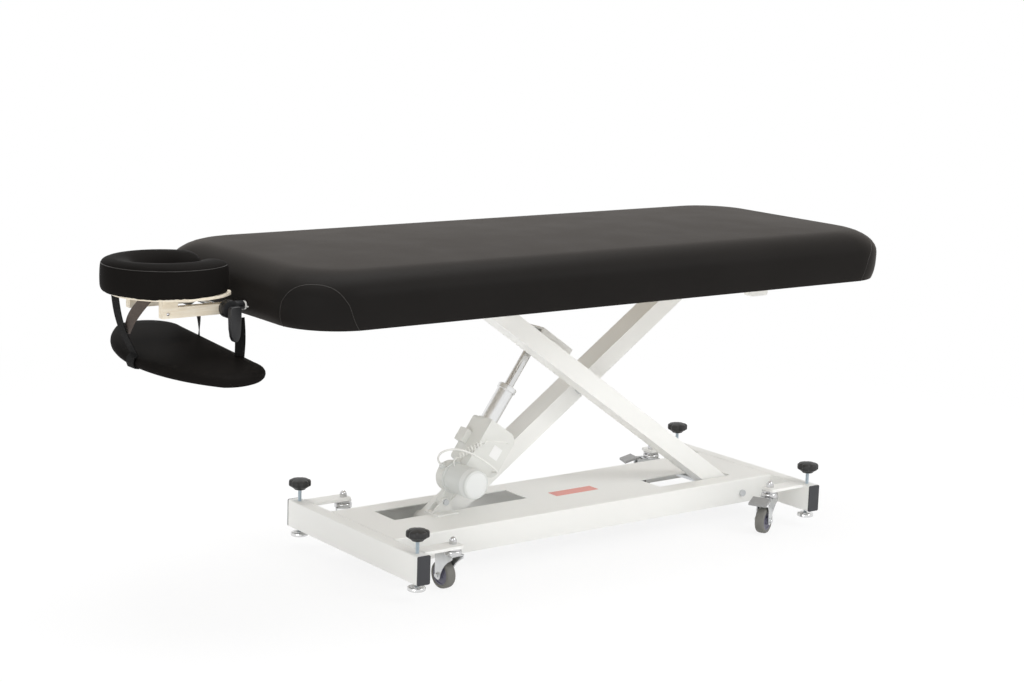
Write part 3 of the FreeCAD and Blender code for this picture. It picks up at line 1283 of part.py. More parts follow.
cushion_solid = shaped("cushion_solid", cushion_form())
board_pocket = rounded(
    "board_pocket",
    box("board_pocket_blank", ("head_end + board_margin", "foot_end - board_margin"),
        ("board_margin - top_half", "top_half - board_margin"),
        ("board_bottom - board_thickness", "board_top")),
    "corner_radius - board_margin", lambda edge: runs_along(edge, UPRIGHT),
)
block_pocket = box("block_pocket", BLOCK_X, BLOCK_Y, ("board_bottom", BLOCK_Z[1]))
rod_holes = [
    cylinder(side + "_cushion_hole", "cradle_rod + grommet_gap", "x", "head_end - end_wall", "block_head",
             (f"{v} * rod_side", "rod_z"))
    for side, v in SIDES
]
node("top_cushion", cut("top_cushion", cushion_solid, board_pocket, block_pocket, *rod_holes))

# Face cradle: rods, collars, knuckles and the tilt rod that joins them
cradle_rods = [
    cylinder(side + "_cradle_rod", "cradle_rod", "x", "tilt_x", "head_end + rod_depth",
             (f"{v} * rod_side", "rod_z"))
    for side, v in SIDES
]


def rod_collar(side, v):
    start = "tilt_x + knuckle_nose + washer_gap"
    spot = (f"{v} * rod_side", "rod_z")
    disc = cylinder(side + "_collar_disc", "washer_radius", "x", start, f"{start} + washer_width", spot)
    bore = cylinder(side + "_collar_bore", "cradle_rod", "x", "tilt_x", "head_end + rod_depth", spot)
    return cut(side + "_rod_collar", disc, bore)


node("rod_collars", group("rod_collars", *[rod_collar(*side) for side in SIDES]))


def knuckle(side, v):
    reach = pair("knuckle_inner", "knuckle_outer", v)
    spot = (f"{v} * rod_side", "rod_z")
    barrel = cylinder(side + "_knuckle_barrel", "knuckle_radius", "y", *reach, ("tilt_x", "tilt_z"))
    nose = cylinder(side + "_knuckle_nose", "knuckle_width / 2", "x", "tilt_x", "tilt_x + knuckle_nose", spot)
    rod_bore = cylinder(side + "_knuckle_bore", "cradle_rod", "x", "tilt_x", "head_end", spot)
    tilt_bore = cylinder(side + "_tilt_bore", "tilt_rod", "y", *ACROSS, ("tilt_x", "tilt_z"))
    return cut(side + "_knuckle", fuse(side + "_knuckle_solid", barrel, nose), rod_bore, tilt_bore)


node("cradle_knuckles", group("cradle_knuckles", *[knuckle(*side) for side in SIDES]))
TILT = ("tilt_x", "tilt_z")
tilt_clear = [
    cylinder(side + "_tilt_clear", "cradle_rod", "x", "tilt_x", "head_end", (f"{v} * rod_side", "rod_z"))
    for side, v in SIDES
]
LEVER = ("-knuckle_outer - lever_reach", "tilt_z")
tilt_bar = fuse(
    "tilt_bar",
    cut(
        "tilt_bar_round",
        cylinder("tilt_bar_blank", "tilt_rod", "y", "-knuckle_outer - lever_reach - tilt_rod",
                 "knuckle_outer + tilt_proud", TILT),
        *tilt_clear,
    ),
    cylinder("lever_pin_bar", "lever_pin", "x", "tilt_x - lever_width / 2", "tilt_x + lever_width / 2",
             LEVER),
)
node("cradle_rods", group("cradle_rods", *cradle_rods, tilt_bar))

# Cam lever: a forked blade that hangs on a pin through the near end of the tilt rod
lever_y = (f"{LEVER[0]} - lever_sheet / 2", f"{LEVER[0]} + lever_sheet / 2")


def lever_cheek(side, v):
    low, high = pair("lever_slot", "lever_width / 2", v)
    reach = (f"tilt_x + {low}", f"tilt_x + {high}")
    head = cylinder(side + "_lever_head", "lever_head", "x", *reach, LEVER)
    neck = box(side + "_lever_neck", reach, lever_y, ("tilt_z - lever_head * 1.5", "tilt_z"))
    return [head, neck]


node("cam_lever", cut(
    "cam_lever",
    fuse(
        "lever_solid", *lever_cheek("head", -1), *lever_cheek("foot", 1),
        box("lever_blade", ("tilt_x - lever_width / 2", "tilt_x + lever_width / 2"), lever_y,
            ("tilt_z - lever_length + lever_width / 2", "tilt_z - lever_head * 1.2")),
        cylinder("lever_tip", "lever_width / 2", "y", *lever_y,
                 ("tilt_x", "tilt_z - lever_length + lever_width / 2")),
    ),
    cylinder("lever_bore", "lever_pin + running_gap", "x", "tilt_x - lever_width", "tilt_x + lever_width",
             LEVER),
))


# Side arms: wooden bars that turn on the tilt rod and carry the platform on their raised ends
def side_arm(side, v):
    reach = pair("bar_outer - bar_width", "bar_outer", v)
    bar = box(side + "_bar", ("tilt_x - bar_length", "tilt_x"), reach,
              ("tilt_z - bar_height / 2", "tilt_z + bar_height / 2"))
    eye = cylinder(side + "_bar_eye", "bar_height / 2", "y", *reach, TILT)
    heel = box(side + "_bar_heel", ("tilt_x - bar_length", "tilt_x - bar_length + heel_length"), reach,
               ("tilt_z", "platform_z"))
    hole = cylinder(side + "_bar_hole", "tilt_rod + running_gap", "y", *ACROSS, TILT)
    return cut(side + "_side_arm", fuse(side + "_arm_solid", bar, eye, heel), hole)


node("cradle_side_arms", group("cradle_side_arms", *[side_arm(*side) for side in SIDES]))


# Horseshoe forms of the platform and the face cushion, open towards the table
ARCS_ROUND = 4


def horseshoe_outline(half, z, shift=0):
    """A closed horseshoe with round ends, reaching half to each side of its own middle line."""
    middle = mm("face_diameter / 2 + face_hole") / 2
    opening = math.radians(mm("face_open"))
    step = 2 * (math.pi - opening) / ARCS_ROUND
    edges = []
    for way, radius in ((1, middle + half), (-1, middle - half)):
        def spot(number):
            angle = way * (opening + step * number)
            return Vector(mm("face_x") + shift + radius * math.cos(angle), radius * math.sin(angle), z)

        for number in range(ARCS_ROUND):
            edges.append(Part.Arc(spot(number), spot(number + 0.5), spot(number + 1)).toShape())
        last = -way * opening
        radial = Vector(math.cos(last), math.sin(last), 0) * way
        onward = Vector(-math.sin(last), math.cos(last), 0) * way
        centre = spot(ARCS_ROUND) - radial * half

        def on_tip(degrees):
            turn = math.radians(degrees)
            return centre + (radial * math.cos(turn) + onward * math.sin(turn)) * half

        edges.append(Part.Arc(on_tip(0), on_tip(45), on_tip(90)).toShape())
        edges.append(Part.Arc(on_tip(90), on_tip(135), on_tip(180)).toShape())
    return Part.Wire(edges)


def face_cushion_form():
    """Flat below, a steep wall that is widest at the bulge line, and a low crown over a full edge."""
    half = mm("(face_diameter / 2 - face_hole) / 2")
    bulge, height = mm("face_bulge"), mm("face_height")
    levels = [(0, 0.86), (bulge * 0.35, 0.965), (bulge, 1)]
    for rise, part in ((0.4, 0.975), (0.68, 0.90), (0.85, 0.78), (0.95, 0.56), (1, 0.26)):
        levels.append((bulge + (height - bulge) * rise, part))
    wires = [horseshoe_outline(half * part, mm("face_z") + rise) for rise, part in levels]
    return Part.makeLoft(wires, True, False, False, 2)


platform_half = mm("(face_diameter / 2 - face_hole) / 2 - platform_margin")
platform_face = Part.Face(horseshoe_outline(platform_half, mm("platform_z"), mm("platform_shift")))
platform = platform_face.extrude(UPRIGHT * mm("platform_sheet"))
node("cradle_platform", shaped("cradle_platform", platform))
node("face_cushion", shaped("face_cushion", face_cushion_form()))


# Arm shelf: padded board with one straight edge, its other edge a long curve
def shelf_outline(inset, z):
    half_x, half_y = mm("shelf_width / 2") - inset, mm("shelf_length / 2") - inset
    end = mm("shelf_end")
    nose = Vector(half_x * 0.45, half_y, z)
    straight = Vector(half_x, half_y - end, z)
    back = Vector(-half_x * 0.12, half_y * 0.965, z)

    def flip(spot):
        return Vector(spot.x, -spot.y, z)

    return Part.Wire([
        Part.LineSegment(flip(straight), straight).toShape(),
        Part.Arc(straight, nose, back).toShape(),
        Part.Arc(back, Vector(-half_x, 0, z), flip(back)).toShape(),
        Part.Arc(flip(back), flip(nose), flip(straight)).toShape(),
    ])


def shelf_form():
    soft, height = mm("shelf_soft"), mm("shelf_height")
    levels = ((0, soft * 0.6), (height * 0.3, soft * 0.05), (height * 0.55, 0), (height * 0.8, soft * 0.4),
              (height * 0.95, soft * 1.6), (height, soft * 4))
    return Part.makeLoft([shelf_outline(inset, z) for z, inset in levels], True, False, False, 2)


shelf = node("arm_shelf", shaped("arm_shelf", shelf_form()))
shelf.Placement = Placement(
    Vector(mm("shelf_x"), 0, mm("shelf_z")),
    Rotation(Vector(0, -1, 0), mm("shelf_pitch")) * Rotation(Vector(1, 0, 0), mm("shelf_roll")),
)


# Webbing that hangs the shelf: bands from the knuckles, and from the head end of the platform
def band(name, top, foot, across, width):
    """A flat band between two points, its width along across."""
    way = foot - top
    flat = across.normalize() * (width / 2)
    thick = way.cross(flat).normalize() * mm("strap_sheet")
    if thick.z > 0:
        thick = -thick
    ring = [top - flat, top + flat, foot + flat, foot - flat]
    face = Part.Face(Part.makePolygon(ring + ring[:1]))
    return shaped(name, face.extrude(thick))


def on_shelf(x, y, lift):
    """A point over the shelf's own plan, lift above its upper side."""
    return shelf.Placement.multVec(Vector(x, y, mm("shelf_height") + lift))


def rear_band(side, v):
    top = Vector(mm("tilt_x + knuckle_radius - rear_strap_width / 2"), v * mm("rod_side"),
                 mm("tilt_z - knuckle_radius - face_clearance"))
    foot = on_shelf(mm("shelf_width / 2 - rear_strap_width"), v * mm("rod_side"), mm("face_clearance"))
    foot.x = top.x
    foot.y = top.y
    return band(side + "_rear_band", top, foot, Vector(1, 0, 0), mm("rear_strap_width"))


node("rear_straps", group("rear_straps", *[rear_band(*side) for side in SIDES]))
front_top_z = mm("platform_z - face_clearance")
front_foot = on_shelf(mm("shelf_soft * 2 - shelf_width / 2"), -mm("strap_width / 2"), mm("strap_sheet"))
front_bands = [
    band("front_band",
         Vector(mm("face_x + platform_shift - face_diameter / 2 + platform_margin + strap_width / 4"),
                mm("strap_width / 2"), front_top_z),
         front_foot, Vector(0, 1, 0), mm("strap_width")),
    band("front_side_band", Vector(mm("face_x - face_diameter / 4"), -mm("face_diameter / 6"), front_top_z),
         front_foot + Vector(mm("strap_width"), -mm("strap_width"), mm("strap_sheet")),
         Vector(0.8, -0.6, 0), mm("strap_width * 0.8")),
]
node("front_straps", group("front_straps", *front_bands))

# Build, test every object and write one file for each node
doc.recompute()
failed = [obj.Name for obj in doc.Objects if {"Invalid", "Error"} & set(obj.State)]
if failed:
    raise RuntimeError("objects that failed: " + ", ".join(failed))
for name, obj in NODES.items():
    if obj.Shape.isNull() or not obj.Shape.isValid() or not obj.Shape.Solids:
        raise RuntimeError("no valid solid in " + name)

os.makedirs("parts", exist_ok=True)
for name, obj in NODES.items():
    obj.Shape.exportStep(f"parts/{name}.step")
print(len(NODES), "nodes written")
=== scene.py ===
"""Looks of an electric massage table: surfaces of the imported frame, upholstery, straps and leads."""
import json
import math
import random

import bmesh
import bpy
from mathutils import Matrix, Vector
from mathutils.bvhtree import BVHTree


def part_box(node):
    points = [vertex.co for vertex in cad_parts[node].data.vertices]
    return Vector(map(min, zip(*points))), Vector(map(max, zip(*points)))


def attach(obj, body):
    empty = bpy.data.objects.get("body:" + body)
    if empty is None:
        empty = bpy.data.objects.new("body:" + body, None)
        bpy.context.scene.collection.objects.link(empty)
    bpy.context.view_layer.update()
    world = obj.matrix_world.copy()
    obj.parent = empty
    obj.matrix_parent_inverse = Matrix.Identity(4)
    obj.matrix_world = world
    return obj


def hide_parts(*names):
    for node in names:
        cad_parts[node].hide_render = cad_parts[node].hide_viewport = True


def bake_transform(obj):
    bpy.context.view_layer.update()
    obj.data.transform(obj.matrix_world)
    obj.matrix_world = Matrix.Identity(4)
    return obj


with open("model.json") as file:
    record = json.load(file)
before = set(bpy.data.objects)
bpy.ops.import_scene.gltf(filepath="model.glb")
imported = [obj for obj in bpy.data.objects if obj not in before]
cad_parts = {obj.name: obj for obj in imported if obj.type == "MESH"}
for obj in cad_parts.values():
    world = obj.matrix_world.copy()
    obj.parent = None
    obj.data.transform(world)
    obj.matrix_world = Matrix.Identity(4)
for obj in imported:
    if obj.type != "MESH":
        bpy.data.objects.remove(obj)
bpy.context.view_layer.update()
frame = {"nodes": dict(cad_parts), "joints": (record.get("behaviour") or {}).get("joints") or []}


# Camera: stands off the near head corner, a little above the top, with a long lens.
# Its place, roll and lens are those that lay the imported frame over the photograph.
PHOTO_WIDTH = 1024
FOCAL_PIXELS = 2043.3
CAMERA_AZIMUTH = math.radians(-37.02)
CAMERA_ELEVATION = math.radians(10.78)
CAMERA_ROLL = math.radians(1.82)
CAMERA_DISTANCE = 5.556
CAMERA_TARGET = Vector((0.0608, 0.0, 0.5761))
SENSOR_WIDTH = 36.0


def in_scene(name, data):
    """A new object with this data, linked to the scene."""
    obj = bpy.data.objects.new(name, data)
    bpy.context.scene.collection.objects.link(obj)
    return obj


back = Vector((
    math.sin(CAMERA_AZIMUTH) * math.cos(CAMERA_ELEVATION),
    -math.cos(CAMERA_AZIMUTH) * math.cos(CAMERA_ELEVATION),
    math.sin(CAMERA_ELEVATION),
))
level_right = (-back).cross(Vector((0, 0, 1))).normalized()
level_up = level_right.cross(-back)
right = level_right * math.cos(CAMERA_ROLL) + level_up * math.sin(CAMERA_ROLL)
up = level_up * math.cos(CAMERA_ROLL) - level_right * math.sin(CAMERA_ROLL)
lens = bpy.data.cameras.new("photo_camera")
lens.sensor_fit = "HORIZONTAL"
lens.sensor_width = SENSOR_WIDTH
lens.lens = FOCAL_PIXELS / PHOTO_WIDTH * SENSOR_WIDTH
camera = in_scene("photo_camera", lens)
turn = Matrix((right, up, back)).transposed().to_4x4()
camera.matrix_world = Matrix.Translation(CAMERA_TARGET + back * CAMERA_DISTANCE) @ turn
bpy.context.scene.camera = camera


# Powder-coated steel: beams, spine, caster plates, scissor arms, brackets and the frame under the top.
# Tube and folded sheet are welded, then sprayed off-white and baked, which leaves a fine orange-peel skin.
WHITE = (1, 1, 1, 1)


def shader_group(name, inputs, outputs):
    """An empty node group with named sockets; returns it with its two end nodes."""
    tree = bpy.data.node_groups.new(name, "ShaderNodeTree")
    for label, kind, value in inputs:
        socket = tree.interface.new_socket(name=label, in_out="INPUT", socket_type="NodeSocket" + kind)
        socket.default_value = value
    for label, kind in outputs:
        tree.interface.new_socket(name=label, in_out="OUTPUT", socket_type="NodeSocket" + kind)
    return tree, tree.nodes.new("NodeGroupInput"), tree.nodes.new("NodeGroupOutput")


def new_nodes(tree, *kinds):
    """New shader nodes of these kinds."""
    return [tree.nodes.new("ShaderNode" + kind) for kind in kinds]


def wire(tree, *links):
    """Links sockets: each link is a node, its output, the next node and its input."""
    for source, output, target, socket in links:
        tree.links.new(source.outputs[output], target.inputs[socket])


def put(node, values):
    """Sets a node's input sockets by their labels."""
    for label, value in values.items():
        node.inputs[label].default_value = value


def build_tone_group():
    """Two tones and two gloss levels that drift into each other, as on any sprayed or moulded skin."""
    tree, given, made = shader_group(
        "tone_drift",
        [("Dark", "Color", WHITE), ("Light", "Color", WHITE), ("Scale", "Float", 5.0),
         ("Gloss", "Float", 0.4), ("Matt", "Float", 0.5)],
        [("Color", "Color"), ("Roughness", "Float")],
    )
    place, noise, tone, gloss = new_nodes(tree, "TexCoord", "TexNoise", "Mix", "Mix")
    put(noise, {"Detail": 5.0})
    tone.data_type = "RGBA"
    wire(tree, (place, "Object", noise, "Vector"), (given, "Scale", noise, "Scale"),
         (noise, "Fac", tone, 0), (given, "Dark", tone, 6), (given, "Light", tone, 7),
         (noise, "Fac", gloss, 0), (given, "Gloss", gloss, 2), (given, "Matt", gloss, 3),
         (tone, 2, made, "Color"), (gloss, 0, made, "Roughness"))
    return tree


def build_peel_group():
    """A fine even relief: orange peel on paint, mould texture on plastic."""
    tree, given, made = shader_group(
        "fine_relief",
        [("Scale", "Float", 900.0), ("Strength", "Float", 0.1), ("Depth", "Float", 0.0002)],
        [("Normal", "Vector")],
    )
    place, noise, bump = new_nodes(tree, "TexCoord", "TexNoise", "Bump")
    put(noise, {"Detail": 2.0})
    wire(tree, (place, "Object", noise, "Vector"), (given, "Scale", noise, "Scale"),
         (noise, "Fac", bump, "Height"), (given, "Strength", bump, "Strength"),
         (given, "Depth", bump, "Distance"), (bump, "Normal", made, "Normal"))
    return tree


TONE_DRIFT = build_tone_group()
FINE_RELIEF = build_peel_group()


def surface(name, group, given, constants, bump=None):
    """A material fed by a node group: given goes to the group, constants to the shader's own sockets."""
    made = bpy.data.materials.new(name)
    made.use_nodes = True
    tree = made.node_tree
    shader = tree.nodes["Principled BSDF"]
    source, = new_nodes(tree, "Group")
    source.node_tree = group
    put(source, given)
    put(shader, constants)
    wire(tree, (source, "Color", shader, "Base Color"))
    if "Roughness" in source.outputs:
        wire(tree, (source, "Roughness", shader, "Roughness"))
    if bump:
        relief, = new_nodes(tree, "Bump")
        put(relief, dict(zip(("Strength", "Distance"), bump)))
        wire(tree, (source, "Height", relief, "Height"), (relief, "Normal", shader, "Normal"))
    return made


def finish(name, dark, light, gloss, drift=6.0, metal=0.0, peel=(900.0, 0.1, 0.0002)):
    """A finish of two near tones, a range of gloss and a fine relief."""
    made = surface(name, TONE_DRIFT, {"Dark": (*dark, 1), "Light": (*light, 1), "Scale": drift,
                                      "Gloss": gloss[0], "Matt": gloss[1]}, {"Metallic": metal})
    tree = made.node_tree
    relief, = new_nodes(tree, "Group")
    relief.node_tree = FINE_RELIEF
    put(relief, dict(zip(("Scale", "Strength", "Depth"), peel)))
    wire(tree, (relief, "Normal", tree.nodes["Principled BSDF"], "Normal"))
    return made


nodes = frame["nodes"]


def coat_nodes(made, *names):
    """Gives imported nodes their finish."""
    for name in names:
        nodes[name].data.materials.clear()
        nodes[name].data.materials.append(made)


def soften(width, *names):
    """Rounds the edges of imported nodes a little, as pressing, casting and paint do."""
    for name in names:
        weld = nodes[name].modifiers.new("joined", "WELD")
        weld.merge_threshold = 1e-5
        bevel = nodes[name].modifiers.new("edges", "BEVEL")
        bevel.limit_method = "ANGLE"
        bevel.angle_limit = math.radians(40)
        bevel.width = width
        bevel.segments = 2
        bevel.use_clamp_overlap = True


powder_coat = finish("powder_coat", (0.84, 0.84, 0.81), (0.89, 0.89, 0.865), (0.40, 0.48), drift=3.0,
                     peel=(650.0, 0.12, 0.0002))
coat_nodes(
    powder_coat, "head_cross_beam", "foot_cross_beam", "base_spine", "roller_tray", "caster_plates",
    "outer_arm", "inner_arm", "rod_end_bracket", "actuator_bracket", "top_frame", "roller_rails",
    "top_hinge_lugs", "edge_hook",
)
EDGE_ROUND = 0.0012
soften(EDGE_ROUND, "caster_plates", "rod_end_bracket", "actuator_bracket")


# Weld beads: short runs of steel where the spine and the caster bars meet the beams.
# They were laid by hand before the coat, so they waver a little and have the same skin.
BEAD_RADIUS = 0.0024
BEAD_STEP = 0.004
BEAD_WAVE = 0.0005
bead_seed = random.Random(7)


def line_of(name, kind, points):
    """An object that is one spline of a kind with these control points."""
    curve = bpy.data.curves.new(name, "CURVE")
    curve.dimensions = "3D"
    spline = curve.splines.new(kind)
    spline.points.add(len(points) - 1)
    for spot, point in zip(spline.points, points):
        spot.co = (*point, 1)
    return in_scene(name, curve)


def as_mesh(obj):
    """What an object shows, as a mesh of its own."""
    return bpy.data.meshes.new_from_object(obj.evaluated_get(bpy.context.evaluated_depsgraph_get()))


def on_body(name, mesh, made, body):
    """A finished object: a mesh in its material, on a body."""
    mesh.materials.append(made)
    obj = in_scene(name, mesh)
    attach(obj, body)
    return obj


def round_line(name, points, radius, made, body):
    """A thin round bar through points: a weld bead or a sewn welt."""
    line = line_of(name + "_line", "POLY", points)
    line.data.bevel_depth = radius
    line.data.bevel_resolution = 2
    bpy.context.view_layer.update()
    mesh = as_mesh(line)
    bpy.data.objects.remove(line)
    mesh.name = name
    mesh.materials.clear()
    return on_body(name, mesh, made, body)


def weld(name, start, end):
    """A slightly uneven bead from start to end."""
    count = max(2, int((end - start).length / BEAD_STEP))
    points = []
    for step in range(count + 1):
        wave = Vector([bead_seed.uniform(-BEAD_WAVE, BEAD_WAVE) for axis in range(3)])
        points.append(start.lerp(end, step / count) + wave)
    round_line(name, points, BEAD_RADIUS, powder_coat, "base_frame")


WELD_INSET = 0.004
WELD_SINK = 0.001
BAR_WIDTH = 0.046
spine_low, spine_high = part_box("base_spine")
bars_low, bars_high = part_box("caster_plates")
spine_weld_z, bar_weld_z = spine_high.z - WELD_SINK, bars_high.z - WELD_SINK
for end, x in (("head", bars_low.x), ("foot", bars_high.x)):
    weld(end + "_spine_weld", Vector((x, spine_low.y + WELD_INSET, spine_weld_z)),
         Vector((x, spine_high.y - WELD_INSET, spine_weld_z)))
    for side, y in (("near", bars_low.y), ("far", bars_high.y)):
        inner = y - math.copysign(BAR_WIDTH, y)
        weld(f"{end}_{side}_bar_weld", Vector((x, y, bar_weld_z)), Vector((x, inner, bar_weld_z)))


# End caps: dark grey plastic plates that close the open ends of the beams.
# They are moulded with a fine texture and pushed in.
cap_plastic = finish("cap_plastic", (0.030, 0.031, 0.036), (0.040, 0.041, 0.046), (0.5, 0.6),
                     peel=(1200.0, 0.2, 0.0002))
coat_nodes(cap_plastic, "beam_end_caps")
soften(EDGE_ROUND, "beam_end_caps")


# Bolts and pins: zinc-plated pivot bolts, axles and hinge pins, and polished caster stems.
# They are turned from bar; the stems are held on the caster bars by acorn nuts.
zinc = finish("zinc_plate", (0.52, 0.54, 0.56), (0.70, 0.71, 0.72), (0.28, 0.42), drift=60.0, metal=1.0,
              peel=(400.0, 0.05, 0.0001))
polished = finish("polished_steel", (0.52, 0.52, 0.52), (0.70, 0.70, 0.71), (0.12, 0.2), drift=40.0,
                  metal=1.0, peel=(300.0, 0.0, 0.0001))
coat_nodes(zinc, "base_pivot_bolts", "outer_arm_pins", "lower_roller_axle", "top_hinge_pin")
coat_nodes(polished, "caster_stems")


# Levelling screws: one at each corner, to take the base off its casters.
# A cut thread on a zinc-plated rod is riveted into a turned and chromed foot.
def ring_of(points, bm):
    """A closed ring of edges through points."""
    verts = [bm.verts.new(point) for point in points]
    for one, other in zip(verts, verts[1:] + verts[:1]):
        bm.edges.new((one, other))
    return verts


def drawn_up(bm, verts, points):
    """Extrudes a ring and moves each new corner to its own point."""
    old = set(verts)
    edges = [edge for edge in {edge for vert in verts for edge in vert.link_edges}
             if edge.verts[0] in old and edge.verts[1] in old]
    made = bmesh.ops.extrude_edge_only(bm, edges=edges)["geom"]
    new = {part for part in made if isinstance(part, bmesh.types.BMVert)}
    partners = []
    for vert in verts:
        partner = next(edge.other_vert(vert) for edge in vert.link_edges if edge.other_vert(vert) in new)
        partners.append(partner)
    for vert, point in zip(partners, points):
        vert.co = point
    return partners


def skin(rings, capped=True):
    """A bmesh drawn up through rings of points, all with the same count."""
    bm = bmesh.new()
    verts = ring_of(rings[0], bm)
    if capped:
        bm.faces.new(verts)
    for points in rings[1:]:
        verts = drawn_up(bm, verts, points)
    if capped:
        bm.faces.new(verts)
    return bm


def mesh_from(name, bm):
    """A mesh with a bmesh's shape, which is then freed."""
    mesh = bpy.data.meshes.new(name)
    bm.to_mesh(mesh)
    bm.free()
    return mesh


def piece(name, bm, made, body, smooth=True, merge=1e-6, sharp=None):
    """Turns a bmesh into a finished object on a body; edges sharper than an angle can stay crisp."""
    bmesh.ops.remove_doubles(bm, verts=bm.verts, dist=merge)
    bmesh.ops.recalc_face_normals(bm, faces=bm.faces)
    for face in bm.faces:
        face.smooth = smooth
    mesh = mesh_from(name, bm)
    if sharp:
        mesh.set_sharp_from_angle(angle=math.radians(sharp))
    return on_body(name, mesh, made, body)


def move(bm, matrix):
    """Moves a whole bmesh and hands it back."""
    bmesh.ops.transform(bm, matrix=matrix, verts=bm.verts)
    return bm


def turned_on_lathe(profile, steps=40):
    """A bmesh spun about Z from (radius, height) points."""
    bm = bmesh.new()
    verts = [bm.verts.new((radius, 0, height)) for radius, height in profile]
    edges = [bm.edges.new(two) for two in zip(verts, verts[1:])]
    bmesh.ops.spin(bm, geom=verts + edges, cent=(0, 0, 0), axis=(0, 0, 1), angle=2 * math.pi, steps=steps,
                   use_merge=True)
    return bm


THREAD_PITCH = 0.0015
THREAD_DEPTH = 0.0007
THREAD_STEPS = 14
THREAD_START = 0.0125
SCREW_RADIUS = 0.005
FOOT_PROFILE = (
    (0.0, 0.0), (0.0222, 0.0), (0.0235, 0.0012), (0.0235, 0.0076), (0.0227, 0.0088), (0.0168, 0.0093),
    (0.0160, 0.0098), (0.0160, 0.0108), (0.0150, 0.0117), (0.0078, 0.0121), (0.0072, 0.0127), (0.0, 0.0127),
)
CORNERS = ("head_near", "head_far", "foot_near", "foot_far")


def threaded_rod(x, y, low, high, radius):
    """A helical thread between two heights."""
    bm = bmesh.new()
    crest, root = radius, radius - THREAD_DEPTH
    profile = [bm.verts.new((x + r, y, low + z * THREAD_PITCH))
               for r, z in ((root, 0), (crest, 0.4), (crest, 0.6), (root, 1))]
    edges = [bm.edges.new(two) for two in zip(profile, profile[1:])]
    turns = int((high - low) / THREAD_PITCH)
    steps = turns * THREAD_STEPS
    bmesh.ops.spin(bm, geom=profile + edges, cent=(x, y, 0), axis=(0, 0, 1), angle=2 * math.pi * turns,
                   steps=steps, dvec=(0, 0, THREAD_PITCH / THREAD_STEPS))
    return bm


foot_chrome = finish("foot_chrome", (0.62, 0.62, 0.62), (0.78, 0.78, 0.78), (0.14, 0.22), drift=50.0,
                     metal=1.0, peel=(500.0, 0.0, 0.0001))
thread_zinc = finish("thread_zinc", (0.46, 0.53, 0.58), (0.66, 0.71, 0.74), (0.3, 0.4), drift=80.0, metal=1.0)
for corner in CORNERS:
    low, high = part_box(corner + "_levelling_screw")
    x, y = (low.x + high.x) / 2, (low.y + high.y) / 2
    rod = threaded_rod(x, y, low.z + THREAD_START, high.z, SCREW_RADIUS)
    rod = piece(corner + "_thread", rod, thread_zinc, corner + "_leveller", merge=1e-5,
                sharp=30)
    foot = move(turned_on_lathe(FOOT_PROFILE), Matrix.Translation((x, y, low.z)))
    piece(corner + "_screw_foot", foot, foot_chrome, corner + "_leveller", sharp=35)
    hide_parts(corner + "_levelling_screw")


# Lobed knobs: black moulded hand wheels pressed on the heads of the levelling screws.
# They are conical below, with six shallow hollows for the fingers, and softly domed on top.
KNOB_LOBES = 6
KNOB_STEPS = 96
LOBE_DEPTH = 0.0040
LOBE_SHARPNESS = 1.3
KNOB_PROFILE = (  # height, radius, share of the lobes' depth
    (0.0, 0.0110, 0), (0.0, 0.0150, 0), (0.0025, 0.0168, 0), (0.0075, 0.0240, 0.5), (0.0100, 0.0285, 1),
    (0.0115, 0.0298, 1), (0.0135, 0.0302, 1), (0.0225, 0.0300, 1), (0.0248, 0.0290, 1),
    (0.0265, 0.0262, 0.85), (0.0280, 0.0215, 0.5), (0.0292, 0.0160, 0.2), (0.0302, 0.0100, 0),
    (0.0308, 0.0045, 0),
)


def knob_ring(x, y, z, radius, depth):
    """One level of a knob, hollowed between its lobes."""
    points = []
    for step in range(KNOB_STEPS):
        angle = 2 * math.pi * step / KNOB_STEPS
        hollow = max(0.0, math.cos(KNOB_LOBES * angle)) ** LOBE_SHARPNESS
        reach = radius - depth * LOBE_DEPTH * hollow
        points.append(Vector((x + reach * math.cos(angle), y + reach * math.sin(angle), z)))
    return points


knob_plastic = finish("knob_plastic", (0.010, 0.010, 0.010), (0.020, 0.019, 0.018), (0.42, 0.55), drift=90.0,
                      peel=(1500.0, 0.25, 0.0002))
for corner in CORNERS:
    low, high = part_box(corner + "_knob")
    x, y = (low.x + high.x) / 2, (low.y + high.y) / 2
    rings = [knob_ring(x, y, low.z + z, radius, depth) for z, radius, depth in KNOB_PROFILE]
    knob = piece(corner + "_hand_knob", skin(rings), knob_plastic, corner + "_leveller",
                 sharp=50)
    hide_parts(corner + "_knob")


